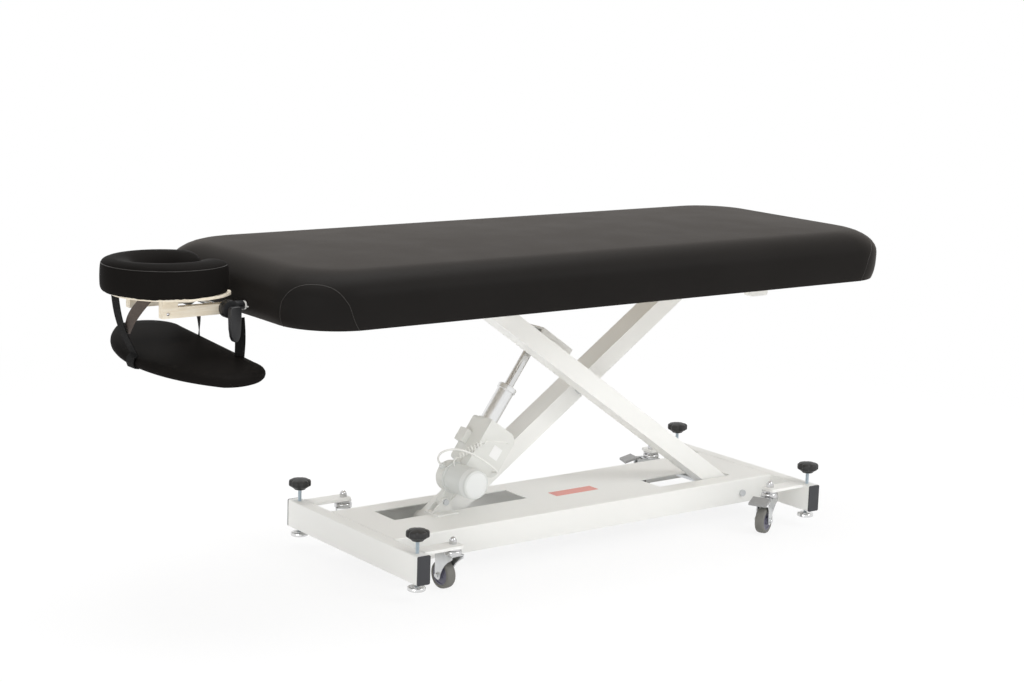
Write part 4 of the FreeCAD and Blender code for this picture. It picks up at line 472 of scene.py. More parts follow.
# Casters: a pressed, zinc-plated fork under a ball race, a grey rubber tyre on a bluish plastic centre.
# The pair at the foot end has a pressed brake pedal over the wheel.
FORK_SHEET = 0.003
FORK_HALF = 0.0195
WHEEL_RADIUS = 0.0375
TYRE_PROFILE = ((0.0270, -0.0112), (0.0285, -0.0128), (0.0320, -0.0136), (0.0350, -0.0126), (0.0366, -0.0098),
                (0.0374, -0.0055), (0.0375, 0.0))
CORE_PROFILE = ((0.0042, -0.0140), (0.0120, -0.0140), (0.0124, -0.0120), (0.0128, -0.0100), (0.0225, -0.0092),
                (0.0240, -0.0118), (0.0272, -0.0122), (0.0277, -0.0108), (0.0290, -0.0106), (0.0290, 0.0))
FORK_TOP = 0.1000
FORK_EDGE = 0.0008
FORK_PLATE, PLATE_PLACE = 0.050, 0.0040
FORK_OUTLINE = (  # along the trail and above the floor
    (-0.0225, 0.1000), (0.0500, 0.1000), (0.0490, 0.0930), (0.0470, 0.0840), (0.0468, 0.0420),
    (0.0465, 0.0355), (0.0440, 0.0300), (0.0400, 0.0270), (0.0360, 0.0262), (0.0315, 0.0272),
    (0.0280, 0.0300), (0.0262, 0.0345), (0.0240, 0.0430), (0.0180, 0.0560), (0.0080, 0.0700),
    (-0.0060, 0.0820), (-0.0200, 0.0900),
)
RACE_PROFILE = ((0.0, 0.0978), (0.0215, 0.0978), (0.0238, 0.0992), (0.0243, 0.1020), (0.0243, 0.1085),
                (0.0232, 0.1110), (0.0205, 0.1126), (0.0, 0.1126))
BOLT_PROFILE = ((0.0, 0.0195), (0.0085, 0.0195), (0.0085, 0.0206), (0.0064, 0.0210), (0.0064, 0.0250),
                (0.0052, 0.0262), (0.0, 0.0264))


LAID = Matrix.Rotation(math.radians(-90), 4, "X")


def across_the_wheel(profile, steps=48):
    """A spun form with its axis laid across the fork, mirrored about the wheel's middle plane."""
    mirrored = [(radius, -height) for radius, height in reversed(profile[:-1])]
    return move(turned_on_lathe([*profile, *mirrored], steps), LAID)


def add_form(bm, form):
    """Adds one bmesh to another."""
    mesh = mesh_from("form", form)
    bm.from_mesh(mesh)
    bpy.data.meshes.remove(mesh)


def fork_form(trail):
    """Two legs cut to the fork's outline, the plate that joins them and the axle's nuts."""
    bm = bmesh.new()
    for side in (-1, 1):
        add_form(bm, skin([[Vector((x, side * y, z)) for x, z in FORK_OUTLINE]
                           for y in (FORK_HALF - FORK_SHEET, FORK_HALF)]))
    plate = bmesh.ops.create_cube(bm, size=1)["verts"]
    bmesh.ops.scale(bm, vec=(FORK_PLATE, 2 * FORK_HALF, FORK_SHEET), verts=plate)
    bmesh.ops.translate(bm, vec=(PLATE_PLACE, 0, FORK_TOP - FORK_SHEET / 2), verts=plate)
    bmesh.ops.bevel(bm, geom=bm.edges[:], offset=FORK_EDGE, segments=2, profile=0.5, affect="EDGES",
                    material=-1)
    spot = Matrix.Translation((trail, 0, WHEEL_RADIUS))
    for turned in (LAID, LAID.inverted()):
        add_form(bm, move(turned_on_lathe(BOLT_PROFILE, steps=32), spot @ turned))
    return bm


joints = {joint["name"]: joint for joint in frame["joints"]}
fork_zinc = finish("fork_zinc", (0.56, 0.57, 0.58), (0.74, 0.75, 0.75), (0.22, 0.36), drift=45.0, metal=1.0,
                   peel=(350.0, 0.04, 0.0001))
tyre_rubber = finish("tyre_rubber", (0.15, 0.147, 0.135), (0.21, 0.206, 0.188), (0.55, 0.7), drift=50.0,
                     peel=(1800.0, 0.25, 0.0002))
core_plastic = finish("wheel_core", (0.125, 0.122, 0.165), (0.165, 0.160, 0.215), (0.4, 0.5), drift=60.0)
pedal_grey = finish("pedal_grey", (0.27, 0.27, 0.27), (0.35, 0.35, 0.35), (0.4, 0.5), drift=60.0,
                    peel=(900.0, 0.1, 0.0002))
for corner in CORNERS:
    swivel = Vector(joints[corner + "_swivel"]["pos_m"])
    axle = Vector(joints[corner + "_wheel_spin"]["pos_m"])
    trail = Vector((axle.x - swivel.x, axle.y - swivel.y, 0))
    heading = math.atan2(trail.y, trail.x)
    stand = Matrix.Translation((swivel.x, swivel.y, 0)) @ Matrix.Rotation(heading, 4, "Z")
    roll = Matrix.Translation(axle) @ Matrix.Rotation(heading, 4, "Z")

    fork = piece(corner + "_fork_pressing", move(fork_form(trail.length), stand), fork_zinc, corner + "_fork",
                 sharp=35)
    piece(corner + "_swivel_race", move(turned_on_lathe(RACE_PROFILE, steps=48), stand), polished,
          corner + "_fork", sharp=40)
    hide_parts(corner + "_caster_fork")

    tyre = piece(corner + "_tyre", move(across_the_wheel(TYRE_PROFILE), roll), tyre_rubber, corner + "_wheel")
    piece(corner + "_wheel_core", move(across_the_wheel(CORE_PROFILE), roll), core_plastic, corner + "_wheel",
          sharp=30)
    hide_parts(corner + "_caster_wheel")
for side in ("near", "far"):
    coat_nodes(pedal_grey, f"foot_{side}_brake_pedal")
    soften(EDGE_ROUND, f"foot_{side}_brake_pedal")


# Nylon rollers of the lift and the two collars on the cradle's rods, turned from white bar.
# The rollers run loose on their axles, and the collars grip the rods.
nylon = finish("white_nylon", (0.78, 0.77, 0.73), (0.86, 0.85, 0.82), (0.35, 0.45), drift=40.0)
coat_nodes(nylon, "upper_rollers", "lower_rollers", "rod_collars")
soften(EDGE_ROUND, "upper_rollers", "lower_rollers", "rod_collars")


# Control box with the mains inlet: a black case for the electronics.
# It is moulded plastic, screwed under the spine.
case_black = finish("case_black", (0.016, 0.016, 0.016), (0.026, 0.026, 0.026), (0.45, 0.55), drift=30.0,
                    peel=(1000.0, 0.2, 0.0002))
coat_nodes(case_black, "control_box")
soften(EDGE_ROUND, "control_box")


# Actuator: light grey moulded housings over a gear case and motor, a satin aluminium tube, a chromed rod.
# Tube, collar and rod are turned, and two pins hold it between the spine and the outer arm.
HOUSING_ROUND = 0.004
housing_grey = finish("housing_grey", (0.70, 0.705, 0.670), (0.78, 0.785, 0.755), (0.42, 0.52), drift=14.0,
                      peel=(700.0, 0.12, 0.0002))
motor_grey = finish("motor_grey", (0.64, 0.66, 0.64), (0.72, 0.735, 0.715), (0.4, 0.5), drift=14.0,
                    peel=(700.0, 0.12, 0.0002))
satin_tube = finish("satin_aluminium", (0.74, 0.745, 0.745), (0.86, 0.865, 0.865), (0.26, 0.36), drift=25.0,
                    metal=1.0, peel=(300.0, 0.03, 0.0001))
chrome = finish("chromed_rod", (0.62, 0.62, 0.61), (0.74, 0.74, 0.74), (0.12, 0.18), drift=30.0, metal=1.0,
                peel=(200.0, 0.0, 0.0001))
coat_nodes(housing_grey, "actuator_housing")
coat_nodes(motor_grey, "actuator_motor")
coat_nodes(chrome, "rod_eye", "cradle_rods")
soften(HOUSING_ROUND, "actuator_housing")
soften(EDGE_ROUND, "rod_eye")

DRIVE_PIN = Vector(joints["actuator_swing"]["pos_m"])
DRIVE_AXIS = Vector(joints["actuator_extend"]["axis"])
DRIVE_UP = Vector((-DRIVE_AXIS.z, 0, DRIVE_AXIS.x))


def on_actuator(along, side, above):
    """A point given in millimetres along, beside and above the actuator's axis."""
    point = DRIVE_PIN + (DRIVE_AXIS * along + DRIVE_UP * above) / 1000
    return Vector((point.x, side / 1000, point.z))


ACTUATOR_SIDE = 3.0
TUBE_PROFILE = ((0.0140, 0.2530), (0.0240, 0.2530), (0.0240, 0.3470), (0.0140, 0.3470))
COLLAR_PROFILE = ((0.0132, 0.3468), (0.0262, 0.3468), (0.0270, 0.3476), (0.0270, 0.3595), (0.0258, 0.3610),
                  (0.0190, 0.3612), (0.0155, 0.3616), (0.0132, 0.3612))
ROD_PROFILE = ((0.0, 0.2710), (0.0130, 0.2710), (0.0130, 0.5090), (0.0, 0.5090))
LATHE_STEPS = 72
on_axis = (Matrix.Translation(on_actuator(0, ACTUATOR_SIDE, 0))
           @ DRIVE_AXIS.to_track_quat("Z", "Y").to_matrix().to_4x4())
for name, profile, made, body, slot in (
    ("actuator_tube", TUBE_PROFILE, satin_tube, "actuator_barrel", "aluminium"),
    ("actuator_collar", COLLAR_PROFILE, satin_tube, "actuator_barrel", "aluminium"),
    ("actuator_rod", ROD_PROFILE, chrome, "actuator_rod", "chrome"),
):
    turned = move(turned_on_lathe(profile, LATHE_STEPS), on_axis)
    turned = piece(name + "_turned", turned, made, body, sharp=35)
    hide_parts(name)


# Motor's flange and end cover: a rim and a paler cap, both moulded plastic.
# The rim is bolted to the gear case, and the cap is pressed over the near end.
MOTOR_AXIS = (70.5, 13)
MOTOR_NEAR_END = -110.0
CAP_PROFILE = ((0.0, -0.0016), (0.026, -0.0014), (0.0325, -0.0004), (0.0370, 0.0020), (0.0396, 0.0060),
               (0.0408, 0.0120), (0.0409, 0.0240), (0.0402, 0.0245))
RIM_PROFILE = ((0.0395, -0.0070), (0.0432, -0.0066), (0.0440, -0.0056), (0.0440, 0.0000), (0.0432, 0.0010),
               (0.0395, 0.0012))
RIM_PLACE = -9.0
RIM_BOLTS = 4
BOLT_CIRCLE = 0.0428
RIM_BOLT = ((0.0, -0.0092), (0.0026, -0.0090), (0.0034, -0.0080), (0.0034, 0.0), (0.0, 0.0))
cap_white = finish("motor_cap", (0.74, 0.755, 0.74), (0.80, 0.81, 0.80), (0.4, 0.5), drift=14.0)
rim = turned_on_lathe(RIM_PROFILE, steps=64)
for bolt in range(RIM_BOLTS):
    angle = math.radians(45 + 360 * bolt / RIM_BOLTS)
    spot = (BOLT_CIRCLE * math.cos(angle), BOLT_CIRCLE * math.sin(angle), 0)
    add_form(rim, move(turned_on_lathe(RIM_BOLT, steps=16), Matrix.Translation(spot)))
cap = turned_on_lathe(CAP_PROFILE, steps=56)
for name, form, along, made, sharp in (
    ("motor_flange", rim, RIM_PLACE, motor_grey, 40),
    ("motor_end_cover", cap, MOTOR_NEAR_END, cap_white, 50),
):
    spot = Matrix.Translation(on_actuator(MOTOR_AXIS[0], along, MOTOR_AXIS[1]))
    piece(name, move(form, spot @ LAID), made, "actuator_barrel", sharp=sharp)


# Blank label on the upper housing: a thin white plastic film, stuck on.
# Nothing is printed on it.
LABEL_CENTRE = (184, -39.25, -44)
LABEL_HALF = (17, 16)
LABEL_THICKNESS = 0.0003
LABEL_EASE = 0.35


def plate_between(corners, thickness, way):
    """A thin plate on four corners, with its edges eased."""
    bm = skin([corners, [corner + way * thickness for corner in corners]])
    bmesh.ops.recalc_face_normals(bm, faces=bm.faces)
    bmesh.ops.bevel(bm, geom=bm.edges[:], offset=thickness * LABEL_EASE, segments=1, profile=0.5,
                    affect="EDGES", material=-1)
    return bm


film = finish("blank_film", (0.86, 0.86, 0.85), (0.90, 0.90, 0.89), (0.3, 0.4), drift=20.0)
label_corners = [
    on_actuator(LABEL_CENTRE[0] + u * LABEL_HALF[0], LABEL_CENTRE[1], LABEL_CENTRE[2] + v * LABEL_HALF[1])
    for u, v in ((-1, -1), (1, -1), (1, 1), (-1, 1))
]
piece("actuator_blank_label", plate_between(label_corners, LABEL_THICKNESS, Vector((0, -1, 0))), film,
      "actuator_barrel", smooth=False)


# Blank sticker on the spine's top: a plain salmon-red film, stuck on.
# Nothing is printed on it.
STICKER_X = (0.211, 0.361)
STICKER_Y = (-0.031, 0.010)
sticker_film = finish("sticker_film", (0.72, 0.25, 0.20), (0.78, 0.30, 0.25), (0.35, 0.45), drift=25.0)
sticker_corners = [Vector((x, y, spine_high.z)) for x, y in (
    (STICKER_X[0], STICKER_Y[0]), (STICKER_X[1], STICKER_Y[0]), (STICKER_X[1], STICKER_Y[1]),
    (STICKER_X[0], STICKER_Y[1]))]
piece("spine_blank_sticker", plate_between(sticker_corners, LABEL_THICKNESS, Vector((0, 0, 1))), sticker_film,
      "base_frame", smooth=False)


# Plain lead on the actuator: round light grey PVC, from the motor to the upper housing.
# A moulded gland holds it where it leaves the motor.
lead_vinyl = finish("lead_vinyl", (0.80, 0.80, 0.77), (0.87, 0.87, 0.84), (0.35, 0.45), drift=60.0)


def spline_line(name, points, resolution):
    """An object that is one smooth spline with these control points."""
    obj = line_of(name, "NURBS", points)
    obj.data.resolution_u = resolution
    spline = obj.data.splines[0]
    spline.order_u = 3
    spline.use_endpoint_u = True
    return obj


MOTOR_LEAD_POINTS = (
    (79, 5, 54.4), (79.5, 5, 82), (104, -14, 101), (131, -46, 84), (142, -60, 42), (144, -63, -4),
    (142, -72, -34), (138.5, -69, -66), (138, -39.3, -68),
)
MOTOR_LEAD_DIAMETER = 0.0056
route = [on_actuator(*point) for point in MOTOR_LEAD_POINTS]
GLAND_PROFILE = ((0.0030, 0.0105), (0.0052, 0.0102), (0.0062, 0.0090), (0.0066, 0.0060), (0.0088, 0.0056),
                 (0.0094, 0.0046), (0.0094, -0.0030), (0.0030, -0.0030))
upright = Matrix.Translation(route[0]) @ DRIVE_UP.to_track_quat("Z", "Y").to_matrix().to_4x4()
gland = move(turned_on_lathe(GLAND_PROFILE, steps=32), upright)
piece("motor_lead_gland", gland, motor_grey, "actuator_barrel", sharp=40)
plain_lead = spline_line("plain_motor_lead", route, resolution=8)
plain_lead.data.bevel_depth = MOTOR_LEAD_DIAMETER / 2
plain_lead.data.bevel_resolution = 4
plain_lead.data.use_fill_caps = True
plain_lead.data.materials.append(lead_vinyl)
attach(plain_lead, "actuator_barrel")
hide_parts("motor_lead")


# Curled lead: thinner PVC wound into a coil, between the gear case and the upper housing.
# Its route is one spline, and the curls are wound round the points that the spline gives.
CURLY_LEAD_POINTS = (
    (92, -30, 46.9), (98, -30, 60), (114, -30, 55), (151, -41.5, 38.5), (188, -53, 22), (206, -64, -4),
    (221, -68, -38), (223, -56, -56), (223, -39, -56),
)
CURLS_BETWEEN = (106, 198)
CURL_RADIUS = 0.0072
CURL_TURNS = 9.0
CURL_RAMP = 0.22
ROUTE_STEPS = 96
TUBE_SIDES = 10
CURLY_LEAD_DIAMETER = 0.0032


def spline_points(name, points, resolution):
    """Points along the smooth spline with these control points."""
    line = spline_line(name, points, resolution)
    bpy.context.view_layer.update()
    mesh = as_mesh(line)
    found = [vert.co.copy() for vert in mesh.vertices]
    bpy.data.meshes.remove(mesh)
    bpy.data.objects.remove(line)
    return found


def tube(path, radius):
    """A round tube along a path, its ring carried along without twist."""
    rings = []
    side = (path[1] - path[0]).orthogonal().normalized()
    for number, spot in enumerate(path):
        way = (path[min(number + 1, len(path) - 1)] - path[max(number - 1, 0)]).normalized()
        side = (side - way * side.dot(way)).normalized()
        over = way.cross(side)
        rings.append([spot + (side * math.cos(2 * math.pi * step / TUBE_SIDES)
                              + over * math.sin(2 * math.pi * step / TUBE_SIDES)) * radius
                      for step in range(TUBE_SIDES)])
    return skin(rings)


def eased(share):
    """Turns done at a share of the curled length, slow at both ends."""
    if share > 0.5:
        return 1 - eased(1 - share)
    if share < CURL_RAMP:
        return share * share / (2 * CURL_RAMP) / (1 - CURL_RAMP)
    return (share - CURL_RAMP / 2) / (1 - CURL_RAMP)


def wound(path):
    """The path with curls round it, between two stations along the actuator."""
    made = []
    for number, spot in enumerate(path):
        along = (spot - DRIVE_PIN).dot(DRIVE_AXIS) * 1000
        share = min(max((along - CURLS_BETWEEN[0]) / (CURLS_BETWEEN[1] - CURLS_BETWEEN[0]), 0.0), 1.0)
        ramp = min(1.0, share / CURL_RAMP, (1 - share) / CURL_RAMP)
        reach = CURL_RADIUS * ramp * ramp * (3 - 2 * ramp)
        way = path[min(number + 1, len(path) - 1)] - path[max(number - 1, 0)]
        side = way.cross(Vector((0, 1, 0))).normalized()
        over = side.cross(way).normalized()
        angle = 2 * math.pi * CURL_TURNS * eased(share)
        made.append(spot + (side * math.cos(angle) + over * math.sin(angle)) * reach)
    return made


curly_path = wound(spline_points("curly_route", [on_actuator(*point) for point in CURLY_LEAD_POINTS],
                                 ROUTE_STEPS))
curly = piece("curled_lead", tube(curly_path, CURLY_LEAD_DIAMETER / 2), lead_vinyl, "actuator_barrel")
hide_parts("curly_lead")


# Plywood: the board with the head block, the cradle's side arms and its platform.
# It is sawn and sanded, and the cradle's pieces are lacquered cream.
def build_ply_group():
    """Long grain with faint darker lines, along X."""
    tree, given, made = shader_group(
        "ply_grain", [("Pale", "Color", WHITE), ("Line", "Color", WHITE)],
        [("Color", "Color"), ("Height", "Float")],
    )
    place, stretch, noise, ramp, tone = new_nodes(tree, "TexCoord", "Mapping", "TexNoise", "ValToRGB", "Mix")
    put(stretch, {"Scale": (6, 70, 70)})
    put(noise, {"Scale": 3.0, "Detail": 8.0})
    ramp.color_ramp.elements[0].position = 0.42
    ramp.color_ramp.elements[1].position = 0.62
    tone.data_type = "RGBA"
    wire(tree, (place, "Object", stretch, "Vector"), (stretch, "Vector", noise, "Vector"),
         (noise, "Fac", ramp, "Fac"), (ramp, "Color", tone, 0), (given, "Line", tone, 6),
         (given, "Pale", tone, 7), (tone, 2, made, "Color"), (noise, "Fac", made, "Height"))
    return tree


PLY_GRAIN = build_ply_group()
PLY_ROUND = 0.0015


def ply(name, pale, line, roughness):
    """Plywood with a pale ground and darker lines."""
    return surface(name, PLY_GRAIN, {"Pale": (*pale, 1), "Line": (*line, 1)}, {"Roughness": roughness},
                   bump=(0.08, 0.0003))


board_ply = ply("board_ply", (0.56, 0.50, 0.42), (0.47, 0.41, 0.34), 0.55)
cream_ply = ply("cream_ply", (0.86, 0.79, 0.66), (0.80, 0.71, 0.56), 0.4)
coat_nodes(board_ply, "top_board")
coat_nodes(cream_ply, "cradle_side_arms", "cradle_platform")
soften(PLY_ROUND, "cradle_platform")


# Cradle knuckles and cam lever: black glass-filled nylon, moulded.
# The knuckles sit on the rods, the side arms turn in them, and the lever clamps the turn.
KNUCKLE_ROUND = 0.0015
LEVER_ROUND = 0.0016
knuckle_black = finish("knuckle_black", (0.012, 0.012, 0.013), (0.022, 0.022, 0.024), (0.38, 0.5), drift=70.0,
                       peel=(1200.0, 0.2, 0.0002))
coat_nodes(knuckle_black, "cradle_knuckles")
soften(KNUCKLE_ROUND, "cradle_knuckles")
LEVER_OUTLINE = (  # along the table from the pin, and above it
    (-0.0145, 0.006), (-0.0120, 0.0095), (0.0120, 0.0095), (0.0145, 0.006), (0.0150, -0.010),
    (0.0135, -0.045), (0.0115, -0.062), (0.0085, -0.070), (0.0045, -0.0745), (0.0, -0.0758),
    (-0.0045, -0.0745), (-0.0085, -0.070), (-0.0115, -0.062), (-0.0135, -0.045), (-0.0150, -0.010),
)
LEVER_FRONT, LEVER_BACK = 0.0105, 0.0040
lever_pin = Vector(joints["cam_lever_open"]["pos_m"])
lever = skin([[lever_pin + Vector((x, y, z)) for x, z in LEVER_OUTLINE] for y in (-LEVER_FRONT, LEVER_BACK)])
bmesh.ops.bevel(lever, geom=lever.edges[:], offset=LEVER_ROUND, segments=3, profile=0.5, affect="EDGES",
                material=-1)
lever = piece("clamp_lever", lever, knuckle_black, "cam_lever", sharp=50)
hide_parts("cam_lever")


# Screws through the side arms into the platform's heels: steel with chromed domed heads.
# One is driven in from each outer side.
SCREW_HEAD = ((0.0, 0.0028), (0.0018, 0.0026), (0.0034, 0.0017), (0.0042, 0.0004), (0.0042, -0.001),
              (0.0, -0.001))
SCREW_INSET, SCREW_RISE = 0.014, 0.011
arms_low, arms_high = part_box("cradle_side_arms")
for side, y in (("near", arms_low.y), ("far", arms_high.y)):
    facing = Matrix.Rotation(math.radians(90 if y < 0 else -90), 4, "X")
    spot = Matrix.Translation((arms_low.x + SCREW_INSET, y, arms_low.z + SCREW_RISE))
    piece(side + "_arm_screw", move(turned_on_lathe(SCREW_HEAD, steps=24), spot @ facing), polished,
          "cradle_head")


# Upholstery leather: near-black polyurethane hide on the top, the face cushion and the arm shelf.
# It is embossed with a fine pebble grain; the top's warm satin sheen is a painted warm reflection, the
# cradle's copy is painted darker as shade.
def build_leather_group():
    """Pebble grain, drifting tone and drifting gloss."""
    tree, given, made = shader_group(
        "pebble_grain", [("Dark", "Color", WHITE), ("Light", "Color", WHITE), ("Grain", "Float", 700.0)],
        [("Color", "Color"), ("Roughness", "Float"), ("Height", "Float")],
    )
    place, cells, drift = new_nodes(tree, "TexCoord", "TexVoronoi", "TexNoise")
    tone, gloss = new_nodes(tree, "Mix", "MapRange")
    cells.feature = "SMOOTH_F1"
    put(drift, {"Scale": 7.0, "Detail": 6.0})
    tone.data_type = "RGBA"
    put(gloss, {"To Min": 0.40, "To Max": 0.52})
    wire(tree, (place, "Object", cells, "Vector"), (place, "Object", drift, "Vector"),
         (given, "Grain", cells, "Scale"), (drift, "Fac", tone, 0), (given, "Dark", tone, 6),
         (given, "Light", tone, 7), (drift, "Fac", gloss, "Value"), (tone, 2, made, "Color"),
         (gloss, "Result", made, "Roughness"), (cells, "Distance", made, "Height"))
    return tree


PEBBLE_GRAIN = build_leather_group()
GRAIN_SCALE = 620.0
# The sheen's warm tint is a painted warm reflection on the top's hide.
WARM_REFLECTION_TINT = (1.0, 0.74, 0.52, 1)
SHEEN_ROUGHNESS = 0.4


def leather(name, dark, light, specular, sheen=0.0):
    """Hide of two near tones, with its gloss and sheen."""
    return surface(name, PEBBLE_GRAIN, {"Dark": (*dark, 1), "Light": (*light, 1), "Grain": GRAIN_SCALE},
                   {"Specular IOR Level": specular, "Sheen Weight": sheen, "Sheen Tint": WARM_REFLECTION_TINT,
                    "Sheen Roughness": SHEEN_ROUGHNESS}, bump=(0.18, 0.0004))


hide = leather("black_hide", (0.0112, 0.0104, 0.0098), (0.0148, 0.0137, 0.0130), 0.026, 0.045)
# The cradle's copy of the hide has darker tones that are painted shade, and less gloss.
cradle_hide_painted_shade = leather("cradle_hide_painted_shade", (0.0086, 0.0078, 0.0073), (0.0116, 0.0105, 0.0098), 0.005)


# Top cushion: foam on the board, with a cover stretched down over the sides and stapled underneath.
# Each corner has its own sewn patch, so a seam arches over it from the bottom edge and back.
CORNER_RADIUS = 0.150
SIDE_DRAW = 0.003
WALL_HEIGHT = 0.074
EDGE_RUN = 0.085
EDGE_RISE = 0.063
CROWN_RISE = 0.006
TUCKS = {"side": 0.010, "head": 0.022, "foot": 0.008}
UNDER_INSET, UNDER_HOLLOW = 0.050, 0.0018
HEM_INSETS = (0.026, 0.012, 0.014)
CORNER_SHRINK, CORNER_LIMIT = 0.8, 0.98
WALL_SHARES = (0.012, 0.04, 0.1, 0.2, 0.33, 0.5, 0.7, 0.88, 1.0)
EDGE_DEGREES = range(10, 100, 10)
CROWN_SHARES = (0.08, 0.18, 0.3, 0.45, 0.6, 0.78, 0.93)
CORNER_STEPS = 14
LONG_STEPS = 40
SHORT_STEPS = 14

low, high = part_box("top_cushion")
cushion_half = Vector(((high.x - low.x) / 2, (high.y - low.y) / 2, 0))
cushion_middle = (high.x + low.x) / 2
cushion_bottom = low.z


def cushion_ring(inset_head, inset_foot, inset_side, draw, z):
    """A closed outline with round corners and sides that are drawn in between them."""
    half_x = cushion_half.x - (inset_head + inset_foot) / 2
    half_y = cushion_half.y - inset_side
    middle = cushion_middle + (inset_head - inset_foot) / 2
    radius = min(CORNER_RADIUS * (1 - CORNER_SHRINK * inset_side / cushion_half.y), CORNER_LIMIT * half_y)
    points = []
    for u, v, start in ((1, -1, -90), (1, 1, 0), (-1, 1, 90), (-1, -1, 180)):
        centre = Vector((middle + u * (half_x - radius), v * (half_y - radius), z))
        for step in range(CORNER_STEPS + 1):
            angle = math.radians(start + 90 * step / CORNER_STEPS)
            points.append(centre + Vector((math.cos(angle), math.sin(angle), 0)) * radius)
        along_y = start in (-90, 90)
        count = SHORT_STEPS if along_y else LONG_STEPS
        here = points[-1]
        if along_y:
            there = Vector((here.x, -here.y, z))
        else:
            there = Vector((2 * middle - here.x, here.y, z))
        inward = Vector((-u, 0, 0)) if along_y else Vector((0, -v, 0))
        for step in range(1, count):
            share = step / count
            bow = draw * math.sin(math.pi * share)
            points.append(here.lerp(there, share) + inward * bow)
    return points


cushion_levels = [(UNDER_INSET, UNDER_INSET, UNDER_INSET, 0, UNDER_HOLLOW), (*HEM_INSETS, 0, 0.0)]
for share in WALL_SHARES:
    tucks = [(1 - share) ** 3 * TUCKS[end] for end in ("head", "foot", "side")]
    cushion_levels.append((*tucks, SIDE_DRAW, WALL_HEIGHT * share))
for degrees in EDGE_DEGREES:
    angle = math.radians(degrees)
    inset = EDGE_RUN * (1 - math.cos(angle))
    rise = WALL_HEIGHT + EDGE_RISE * math.sin(angle)
    cushion_levels.append((inset, inset, inset, SIDE_DRAW * math.cos(angle), rise))
for share in CROWN_SHARES:
    inset = EDGE_RUN + share * (cushion_half.y - EDGE_RUN)
    rise = WALL_HEIGHT + EDGE_RISE + CROWN_RISE * (1 - (1 - share) ** 2)
    cushion_levels.append((inset, inset, inset, 0, rise))
cushion_rings = [cushion_ring(head, foot, side, draw, cushion_bottom + z)
                 for head, foot, side, draw, z in cushion_levels]
cushion = piece("upholstered_top", skin(cushion_rings), hide, "table_top")
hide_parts("top_cushion")


# Corner seams: a fine welt of the hide, sewn in along the edge of each corner patch.
# Here it is laid on the cover's own surface.
SEAM_RADIUS = 0.0009
SEAM_STEPS = 60
WALL_FIRST = 2
SEAM_TOP_LEVEL = 13.5
SEAM_REACH = 0.86
SEAM_SQUARENESS = 0.87
thread_black = leather("seam_welt", (0.018, 0.016, 0.014), (0.026, 0.023, 0.020), 0.35)


def on_cover(place, level):
    """A point of the cover at a place along its outline and a level up its side."""
    count = len(cushion_rings[0])
    low_level, low_place = int(level), math.floor(place)
    rise, share = level - low_level, place - low_place
    one, two = cushion_rings[low_level], cushion_rings[min(low_level + 1, len(cushion_rings) - 1)]
    lower = one[low_place % count].lerp(one[(low_place + 1) % count], share)
    upper = two[low_place % count].lerp(two[(low_place + 1) % count], share)
    return lower.lerp(upper, rise)


corner_places = (("foot_near", 0), ("foot_far", CORNER_STEPS + SHORT_STEPS),
                 ("head_far", 2 * CORNER_STEPS + SHORT_STEPS + LONG_STEPS),
                 ("head_near", 3 * CORNER_STEPS + 2 * SHORT_STEPS + LONG_STEPS))
for corner, first in corner_places:
    middle = first + CORNER_STEPS / 2
    points = []
    for step in range(SEAM_STEPS + 1):
        way = math.pi * (1 - step / SEAM_STEPS)
        across = math.copysign(abs(math.cos(way)) ** SEAM_SQUARENESS, math.cos(way))
        level = WALL_FIRST + (SEAM_TOP_LEVEL - WALL_FIRST) * abs(math.sin(way)) ** SEAM_SQUARENESS
        points.append(on_cover(middle + across * CORNER_STEPS / 2 * SEAM_REACH, level))
    round_line(corner + "_corner_seam", points, SEAM_RADIUS, thread_black, "table_top")


# Face cushion: a horseshoe of soft foam in the same hide, boxed at its outer wall and dished to the hole.
# Its cover is sewn and filled tight, and it lies on the platform.
FACE_OPENING = math.radians(42)
FACE_ARC_STEPS = 84
FACE_TIP_STEPS = 16
FACE_OUTER = ((0.0, 0.0), (0.60, 0.0), (0.80, -0.02), (0.90, -0.03), (0.955, 0.02), (0.985, 0.11),
              (1.0, 0.30), (1.0, 0.48), (0.99, 0.64), (0.972, 0.77), (0.945, 0.855), (0.90, 0.90),
              (0.80, 0.945), (0.62, 0.98), (0.35, 1.0), (0.0, 0.985))
FACE_INNER = ((0.0, 0.0), (0.60, 0.0), (0.80, 0.0), (0.90, 0.01), (0.95, 0.05), (0.98, 0.13), (1.0, 0.25),
              (0.995, 0.36), (0.975, 0.46), (0.945, 0.54), (0.90, 0.60), (0.84, 0.66), (0.74, 0.74),
              (0.58, 0.84), (0.33, 0.94), (0.0, 0.985))
FACE_SEAM_LEVEL = 10
low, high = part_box("face_cushion")
face_radius = (high.y - low.y) / 2
FACE_HOLE = 0.058
face_half = (face_radius - FACE_HOLE) / 2
face_line = (face_radius + FACE_HOLE) / 2
face_centre = Vector((low.x + face_radius, (low.y + high.y) / 2, low.z))
face_height = high.z - low.z


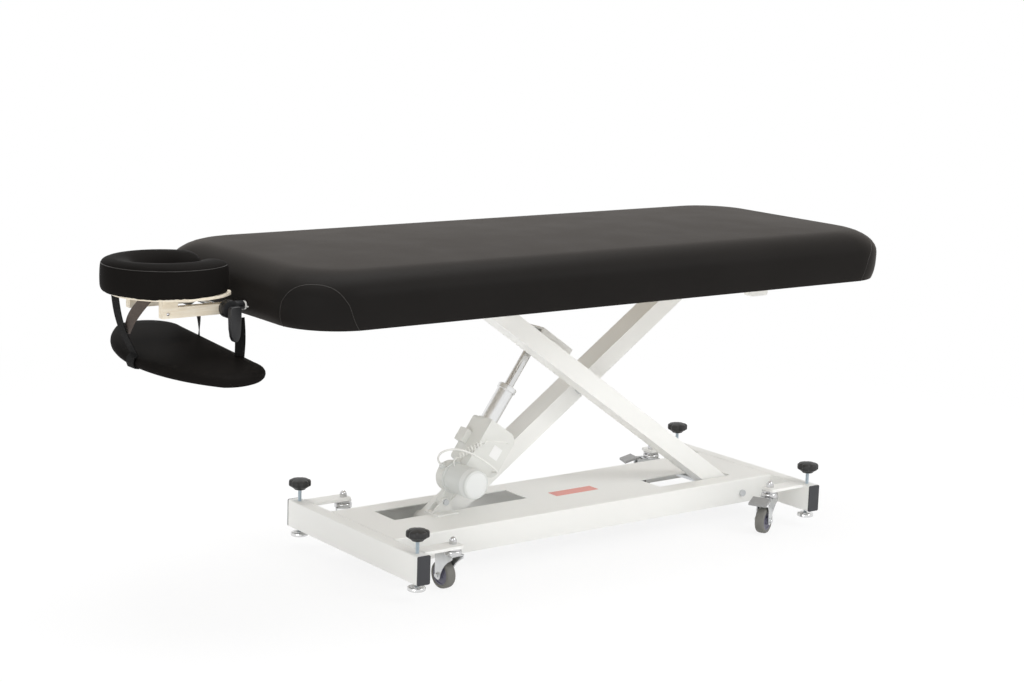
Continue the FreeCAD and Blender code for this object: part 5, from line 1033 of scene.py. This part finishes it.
def horseshoe_ring(outer, inner):
    """A closed horseshoe; outer and inner give the reach and height on its two sides, as shares."""
    points = []
    for way, here, there in ((1, outer, inner), (-1, inner, outer)):
        for step in range(FACE_ARC_STEPS + 1):
            angle = way * (FACE_OPENING + 2 * (math.pi - FACE_OPENING) * step / FACE_ARC_STEPS)
            radius = face_line + way * here[0] * face_half
            points.append(face_centre + Vector((radius * math.cos(angle), radius * math.sin(angle),
                                                here[1] * face_height)))
        last = -way * FACE_OPENING
        radial = Vector((math.cos(last), math.sin(last), 0))
        onward = Vector((-math.sin(last), math.cos(last), 0)) * way
        for step in range(1, FACE_TIP_STEPS):
            share = step / FACE_TIP_STEPS
            turn_by = math.pi * share
            reach = (here[0] + (there[0] - here[0]) * share) * face_half
            rise = (here[1] + (there[1] - here[1]) * share) * face_height
            points.append(face_centre + radial * face_line + Vector((0, 0, rise))
                          + (radial * way * math.cos(turn_by) + onward * math.sin(turn_by)) * reach)
    return points


PUFF_FRAMES = 12
PUFF_VOXEL = 0.005
PUFF_PRESSURE = 3.0
PUFF_LIMIT = 0.004


def apply_modifiers(obj):
    """Makes what the modifiers show into the object's own mesh."""
    mesh = as_mesh(obj)
    obj.modifiers.clear()
    obj.data = mesh


def puff(obj):
    """Swells a closed cover with air for a moment, so that it sits as a filled one does."""
    remesh = obj.modifiers.new("even", "REMESH")
    remesh.mode = "VOXEL"
    remesh.voxel_size = PUFF_VOXEL
    apply_modifiers(obj)
    rest = [vert.co.copy() for vert in obj.data.vertices]
    cloth = obj.modifiers.new("cover", "CLOTH")
    cloth.settings.quality = 5
    cloth.settings.use_pressure = True
    cloth.settings.uniform_pressure_force = PUFF_PRESSURE
    cloth.settings.effector_weights.gravity = 0
    cloth.point_cache.frame_start = 1
    cloth.point_cache.frame_end = PUFF_FRAMES
    for number in range(1, PUFF_FRAMES + 1):
        bpy.context.scene.frame_set(number)
    apply_modifiers(obj)
    bpy.context.scene.frame_set(1)
    for vert, start in zip(obj.data.vertices, rest):
        moved = vert.co - start
        if moved.length > PUFF_LIMIT:
            vert.co = start + moved * (PUFF_LIMIT / moved.length)
    for face in obj.data.polygons:
        face.use_smooth = True


face_rings = [horseshoe_ring(outer, inner) for outer, inner in zip(FACE_OUTER, FACE_INNER)]
face_cushion = piece("face_pad", skin(face_rings, capped=False), cradle_hide_painted_shade, "cradle_head",
                     merge=1e-5)
puff(face_cushion)
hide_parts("face_cushion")

# Boxing seam of the face cushion: a fine welt of the hide, sewn in.
# It runs round the top edge of the outer wall.
pad_skin = BVHTree.FromPolygons([vert.co for vert in face_cushion.data.vertices],
                                [face.vertices for face in face_cushion.data.polygons])
boxing = [pad_skin.find_nearest(point)[0] for point in face_rings[FACE_SEAM_LEVEL][:FACE_ARC_STEPS + 1]]
round_line("face_boxing_seam", boxing, SEAM_RADIUS, thread_black, "cradle_head")


# Arm shelf: a board padded on top and covered in the same hide, stapled underneath.
# It hangs under the cradle by straps, a little out of level.
low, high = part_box("arm_shelf")
SHELF_LENGTH, SHELF_WIDTH, SHELF_HEIGHT = 0.580, 0.245, 0.028
SHELF_END = 0.093
SHELF_PITCH, SHELF_ROLL = math.radians(2.2), math.radians(4)
SHELF_CORNER_STEPS = 24
SHELF_LEVELS = (  # inset, share of the plan, height
    (0.009, 0.6, 0.0), (0.009, 1.0, 0.0), (0.0045, 1.0, 0.002), (0.0012, 1.0, 0.006), (0.0, 1.0, 0.0115),
    (0.0006, 1.0, 0.016), (0.0035, 1.0, 0.0205), (0.009, 1.0, 0.0238), (0.018, 1.0, 0.0259),
    (0.018, 0.88, 0.0271), (0.018, 0.70, 0.0278), (0.018, 0.40, 0.028),
)
NOSE_SHARE = 0.45
BEHIND_SHARES = (0.12, 0.965)
shelf_place = (Matrix.Translation(((low.x + high.x) / 2, (low.y + high.y) / 2, (low.z + high.z) / 2))
               @ Matrix.Rotation(SHELF_PITCH, 4, (0, -1, 0)) @ Matrix.Rotation(SHELF_ROLL, 4, "X")
               @ Matrix.Translation((0, 0, -SHELF_HEIGHT / 2)))


def arc_through(start, middle, end, steps):
    """Points along the arc through three points, without its end."""
    a, b = middle - start, end - start
    normal = a.cross(b)
    centre = start + (b.length_squared * normal.cross(a) + a.length_squared * b.cross(normal)) / (
        2 * normal.length_squared)
    first, last = start - centre, end - centre
    axis = normal.normalized()
    sweep = math.atan2(first.cross(last).dot(axis), first.dot(last)) % (2 * math.pi)
    return [centre + Matrix.Rotation(sweep * step / steps, 3, axis) @ first for step in range(steps)]


def shelf_ring(inset, share, z):
    """One straight edge towards the table, its other edge a long curve."""
    half_x, half_y = SHELF_WIDTH / 2 - inset, SHELF_LENGTH / 2 - inset
    nose = Vector((half_x * NOSE_SHARE, half_y, z))
    straight = Vector((half_x, half_y - SHELF_END, z))
    behind = Vector((-half_x * BEHIND_SHARES[0], half_y * BEHIND_SHARES[1], z))

    def flip(spot):
        return Vector((spot.x, -spot.y, z))

    points = [flip(straight).lerp(straight, step / SHELF_CORNER_STEPS) for step in range(SHELF_CORNER_STEPS)]
    points += arc_through(straight, nose, behind, SHELF_CORNER_STEPS)
    points += arc_through(behind, Vector((-half_x, 0, z)), flip(behind), 2 * SHELF_CORNER_STEPS)
    points += arc_through(flip(behind), flip(nose), flip(straight), SHELF_CORNER_STEPS)
    return [Vector((point.x * share, point.y * share, z)) for point in points]


shelf = move(skin([shelf_ring(*level) for level in SHELF_LEVELS]), shelf_place)
shelf = piece("arm_rest", shelf, cradle_hide_painted_shade, "cradle_frame")
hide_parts("arm_shelf")


# Straps: woven nylon webbing that hangs the shelf from the knuckles and from the platform's head end.
# The bands are cut to length and sewn or stapled at their ends; the one at the side is a paler brownish grey.
def build_weave_group():
    """Ribs across a strap, from its own UV map."""
    tree, given, made = shader_group(
        "webbing_weave", [("Dark", "Color", WHITE), ("Light", "Color", WHITE)],
        [("Color", "Color"), ("Height", "Float")],
    )
    place, brick, tone = new_nodes(tree, "UVMap", "TexBrick", "Mix")
    place.uv_map = "length"
    put(brick, {"Color1": WHITE, "Color2": (0.7, 0.7, 0.7, 1), "Mortar": (0, 0, 0, 1), "Scale": 500.0,
                "Mortar Size": 0.06})
    tone.data_type = "RGBA"
    wire(tree, (place, "UV", brick, "Vector"), (brick, "Color", tone, 0), (given, "Dark", tone, 6),
         (given, "Light", tone, 7), (tone, 2, made, "Color"), (brick, "Color", made, "Height"))
    return tree


WEAVE = build_weave_group()


def webbing_finish(name, dark, light):
    """Matt webbing of two near tones."""
    return surface(name, WEAVE, {"Dark": (*dark, 1), "Light": (*light, 1)},
                   {"Roughness": 0.8, "Specular IOR Level": 0.15}, bump=(0.4, 0.0004))


black_webbing = webbing_finish("black_webbing", (0.004, 0.004, 0.004), (0.009, 0.0085, 0.008))
# The side strap's band is a paler brownish grey.
brownish_webbing = webbing_finish("brownish_webbing", (0.085, 0.070, 0.062), (0.150, 0.125, 0.112))
STRAP_WIDTH = 0.038
STRAP_THICKNESS = 0.0022


def strap(name, stations, made=black_webbing):
    """A flat band through stations: middle point, direction across it, width."""
    rings, lengths = [], [0.0]
    for number, (spot, across, width) in enumerate(stations):
        before = stations[max(number - 1, 0)][0]
        after = stations[min(number + 1, len(stations) - 1)][0]
        flat = across.normalized() * (width / 2)
        thick = (after - before).cross(across).normalized() * (STRAP_THICKNESS / 2)
        rings.append([spot - flat - thick, spot + flat - thick, spot + flat + thick, spot - flat + thick])
        if number:
            lengths.append(lengths[-1] + (spot - before).length)
    bm = skin(rings)
    layer = bm.loops.layers.uv.new("length")
    places = {}
    for ring, along in zip(rings, lengths):
        for point, side in zip(ring, (0, 1, 1, 0)):
            places[tuple(round(number, 6) for number in point)] = (side * STRAP_WIDTH, along)
    for face in bm.faces:
        for loop in face.loops:
            loop[layer].uv = places[tuple(round(number, 6) for number in loop.vert.co)]
    bmesh.ops.recalc_face_normals(bm, faces=bm.faces)
    obj = in_scene(name, mesh_from(name, bm))
    obj.data.materials.append(made)
    return obj


def sweep(start, end, bow, across_start, across_end, width, steps=24):
    """Stations from start to end that bow out by a vector in the middle and turn their width on the way."""
    stations = []
    for step in range(steps + 1):
        share = step / steps
        spot = start.lerp(end, share) + bow * math.sin(math.pi * share)
        across = across_start.lerp(across_end, share)
        stations.append((spot, across, width))
    return stations


REAR_WIDTH = 0.030
REAR_SINK = -0.010
REAR_BOW = Vector((0.003, 0, 0))


def on_shelf(x, y, lift):
    """A point over the shelf's own plan, in metres, lift above its upper side."""
    return shelf_place @ Vector((x, y, SHELF_HEIGHT + lift))


rear_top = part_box("rear_straps")[1].z
REAR_STRAPS = (  # side, top and foot in plan, width's way at top and foot
    ("near", (-0.846, -0.112), (-0.852, -0.126), (1.0, 0.0), (0.98, 0.2)),
    ("far", (-0.852, 0.086), (-0.852, 0.078), (0.80, 0.60), (0.35, 0.94)),
)
for side, top, foot, first, last in REAR_STRAPS:
    top = Vector((*top, rear_top))
    plan = shelf_place.inverted() @ Vector((*foot, shelf_place.translation.z))
    band = strap(side + "_rear_strap", sweep(top, on_shelf(plan.x, plan.y, REAR_SINK), REAR_BOW,
                                             Vector((*first, 0)), Vector((*last, 0)), REAR_WIDTH))
    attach(band, "cradle_frame")
    if side == "near":
        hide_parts("rear_straps")

ACROSS = Vector((0, 1, 0))
FRONT_HEM = 0.001
FRONT_TOP = (0.012, 0.022)
FRONT_EDGE = (-0.1130, -0.015, 0.002)
FRONT_BOW = Vector((-0.010, 0, 0))
FRONT_WRAP = ((-0.1235, -0.016, 0.024), (-0.1265, -0.0165, 0.012), (-0.1225, -0.017, 0.0),
              (-0.112, -0.0175, -0.0022))
SIDE_TOP = (-0.070, -0.045)
SIDE_JOIN = 0.62
SIDE_OFFSET = Vector((-0.004, -0.010, 0))
SIDE_BOW = Vector((-0.009, 0.003, -0.002))
SIDE_WAYS = (Vector((0.8, -0.6, 0)), Vector((-0.15, -0.98, 0)))
SIDE_WIDTH = STRAP_WIDTH * 0.9
platform_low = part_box("cradle_platform")[0]
hem_z = platform_low.z - FRONT_HEM
front_edge = on_shelf(*FRONT_EDGE)
front_top = Vector((platform_low.x + FRONT_TOP[0], FRONT_TOP[1], hem_z))
wrap = [(shelf_place @ Vector(spot), ACROSS, STRAP_WIDTH) for spot in FRONT_WRAP]
first = strap("front_strap", [*sweep(front_top, front_edge, FRONT_BOW, ACROSS, ACROSS, STRAP_WIDTH), *wrap])
joined = front_top.lerp(front_edge, SIDE_JOIN) + SIDE_OFFSET
side_top = Vector((face_centre.x + SIDE_TOP[0], SIDE_TOP[1], hem_z))
second = strap("front_side_strap", sweep(side_top, joined, SIDE_BOW, *SIDE_WAYS, SIDE_WIDTH), brownish_webbing)
for band in (first, second):
    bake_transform(band)
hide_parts("front_straps")


# Studio: a plain white floor and backdrop.
# Three soft lamps: a large one overhead, one to the right of the camera and a weaker one to its left.
FLOOR_HALF = 14.0
grid = bmesh.new()
bmesh.ops.create_grid(grid, x_segments=4, y_segments=4, size=FLOOR_HALF)
floor = in_scene("studio_floor", mesh_from("studio_floor", grid))


def seen_white(tree):
    """How much a ray should see plain white: all of it for camera, mirror and glass rays."""
    path, first, second = new_nodes(tree, "LightPath", "Math", "Math")
    first.operation = "MAXIMUM"
    second.operation = "MAXIMUM"
    wire(tree, (path, "Is Camera Ray", first, 0), (path, "Is Glossy Ray", first, 1), (first, 0, second, 0),
         (path, "Is Transmission Ray", second, 1))
    return second


FLOOR_LIFT = (0.86, 1.0)
SHADOW_REACH = (1.1, 3.2)
floor_paint = bpy.data.materials.new("studio_floor")
floor_paint.use_nodes = True
tree = floor_paint.node_tree
tree.nodes.remove(tree.nodes["Principled BSDF"])
matt, glow, both, place = new_nodes(tree, "BsdfDiffuse", "Emission", "MixShader", "TexCoord")
away, lift, share = new_nodes(tree, "VectorMath", "MapRange", "Math")
put(matt, {"Color": (0.95, 0.95, 0.95, 1)})
away.operation = "LENGTH"
lift.interpolation_type = "SMOOTHSTEP"
put(lift, dict(zip(("From Min", "From Max", "To Min", "To Max"), (*SHADOW_REACH, *FLOOR_LIFT))))
share.operation = "MULTIPLY"
wire(tree, (place, "Object", away, 0), (away, "Value", lift, "Value"), (lift, "Result", share, 1),
     (seen_white(tree), 0, share, 0), (share, 0, both, 0), (matt, 0, both, 1), (glow, 0, both, 2),
     (both, 0, tree.nodes["Material Output"], "Surface"))
floor.data.materials.append(floor_paint)

WORLD_LIGHT = 0.70
world = bpy.data.worlds.new("studio")
bpy.context.scene.world = world
world.use_nodes = True
tree = world.node_tree
sky = tree.nodes["Background"]
put(sky, {"Color": WHITE})
level, = new_nodes(tree, "MapRange")
put(level, {"To Min": WORLD_LIGHT, "To Max": 1.0})
wire(tree, (seen_white(tree), 0, level, "Value"), (level, "Result", sky, "Strength"))


def softbox(name, spot, aim, size, watts):
    """A soft rectangular lamp that stands at a spot and aims at a point."""
    lamp = bpy.data.lights.new(name, "AREA")
    lamp.shape = "RECTANGLE"
    lamp.size, lamp.size_y = size
    lamp.energy = watts
    turn = (Vector(aim) - Vector(spot)).to_track_quat("-Z", "Y").to_matrix().to_4x4()
    in_scene(name, lamp).matrix_world = Matrix.Translation(spot) @ turn


softbox("overhead_lamp", (0.2, 0.3, 3.4), (0.1, 0.0, 0.6), (3.2, 2.2), 88)
softbox("right_lamp", (2.0, -3.2, 2.9), (0.2, 0.0, 0.4), (1.8, 1.8), 56)
softbox("left_lamp", (-3.6, -2.0, 1.0), (0.0, 0.0, 0.3), (2.2, 1.4), 28)

bpy.context.scene.view_settings.view_transform = "Standard"
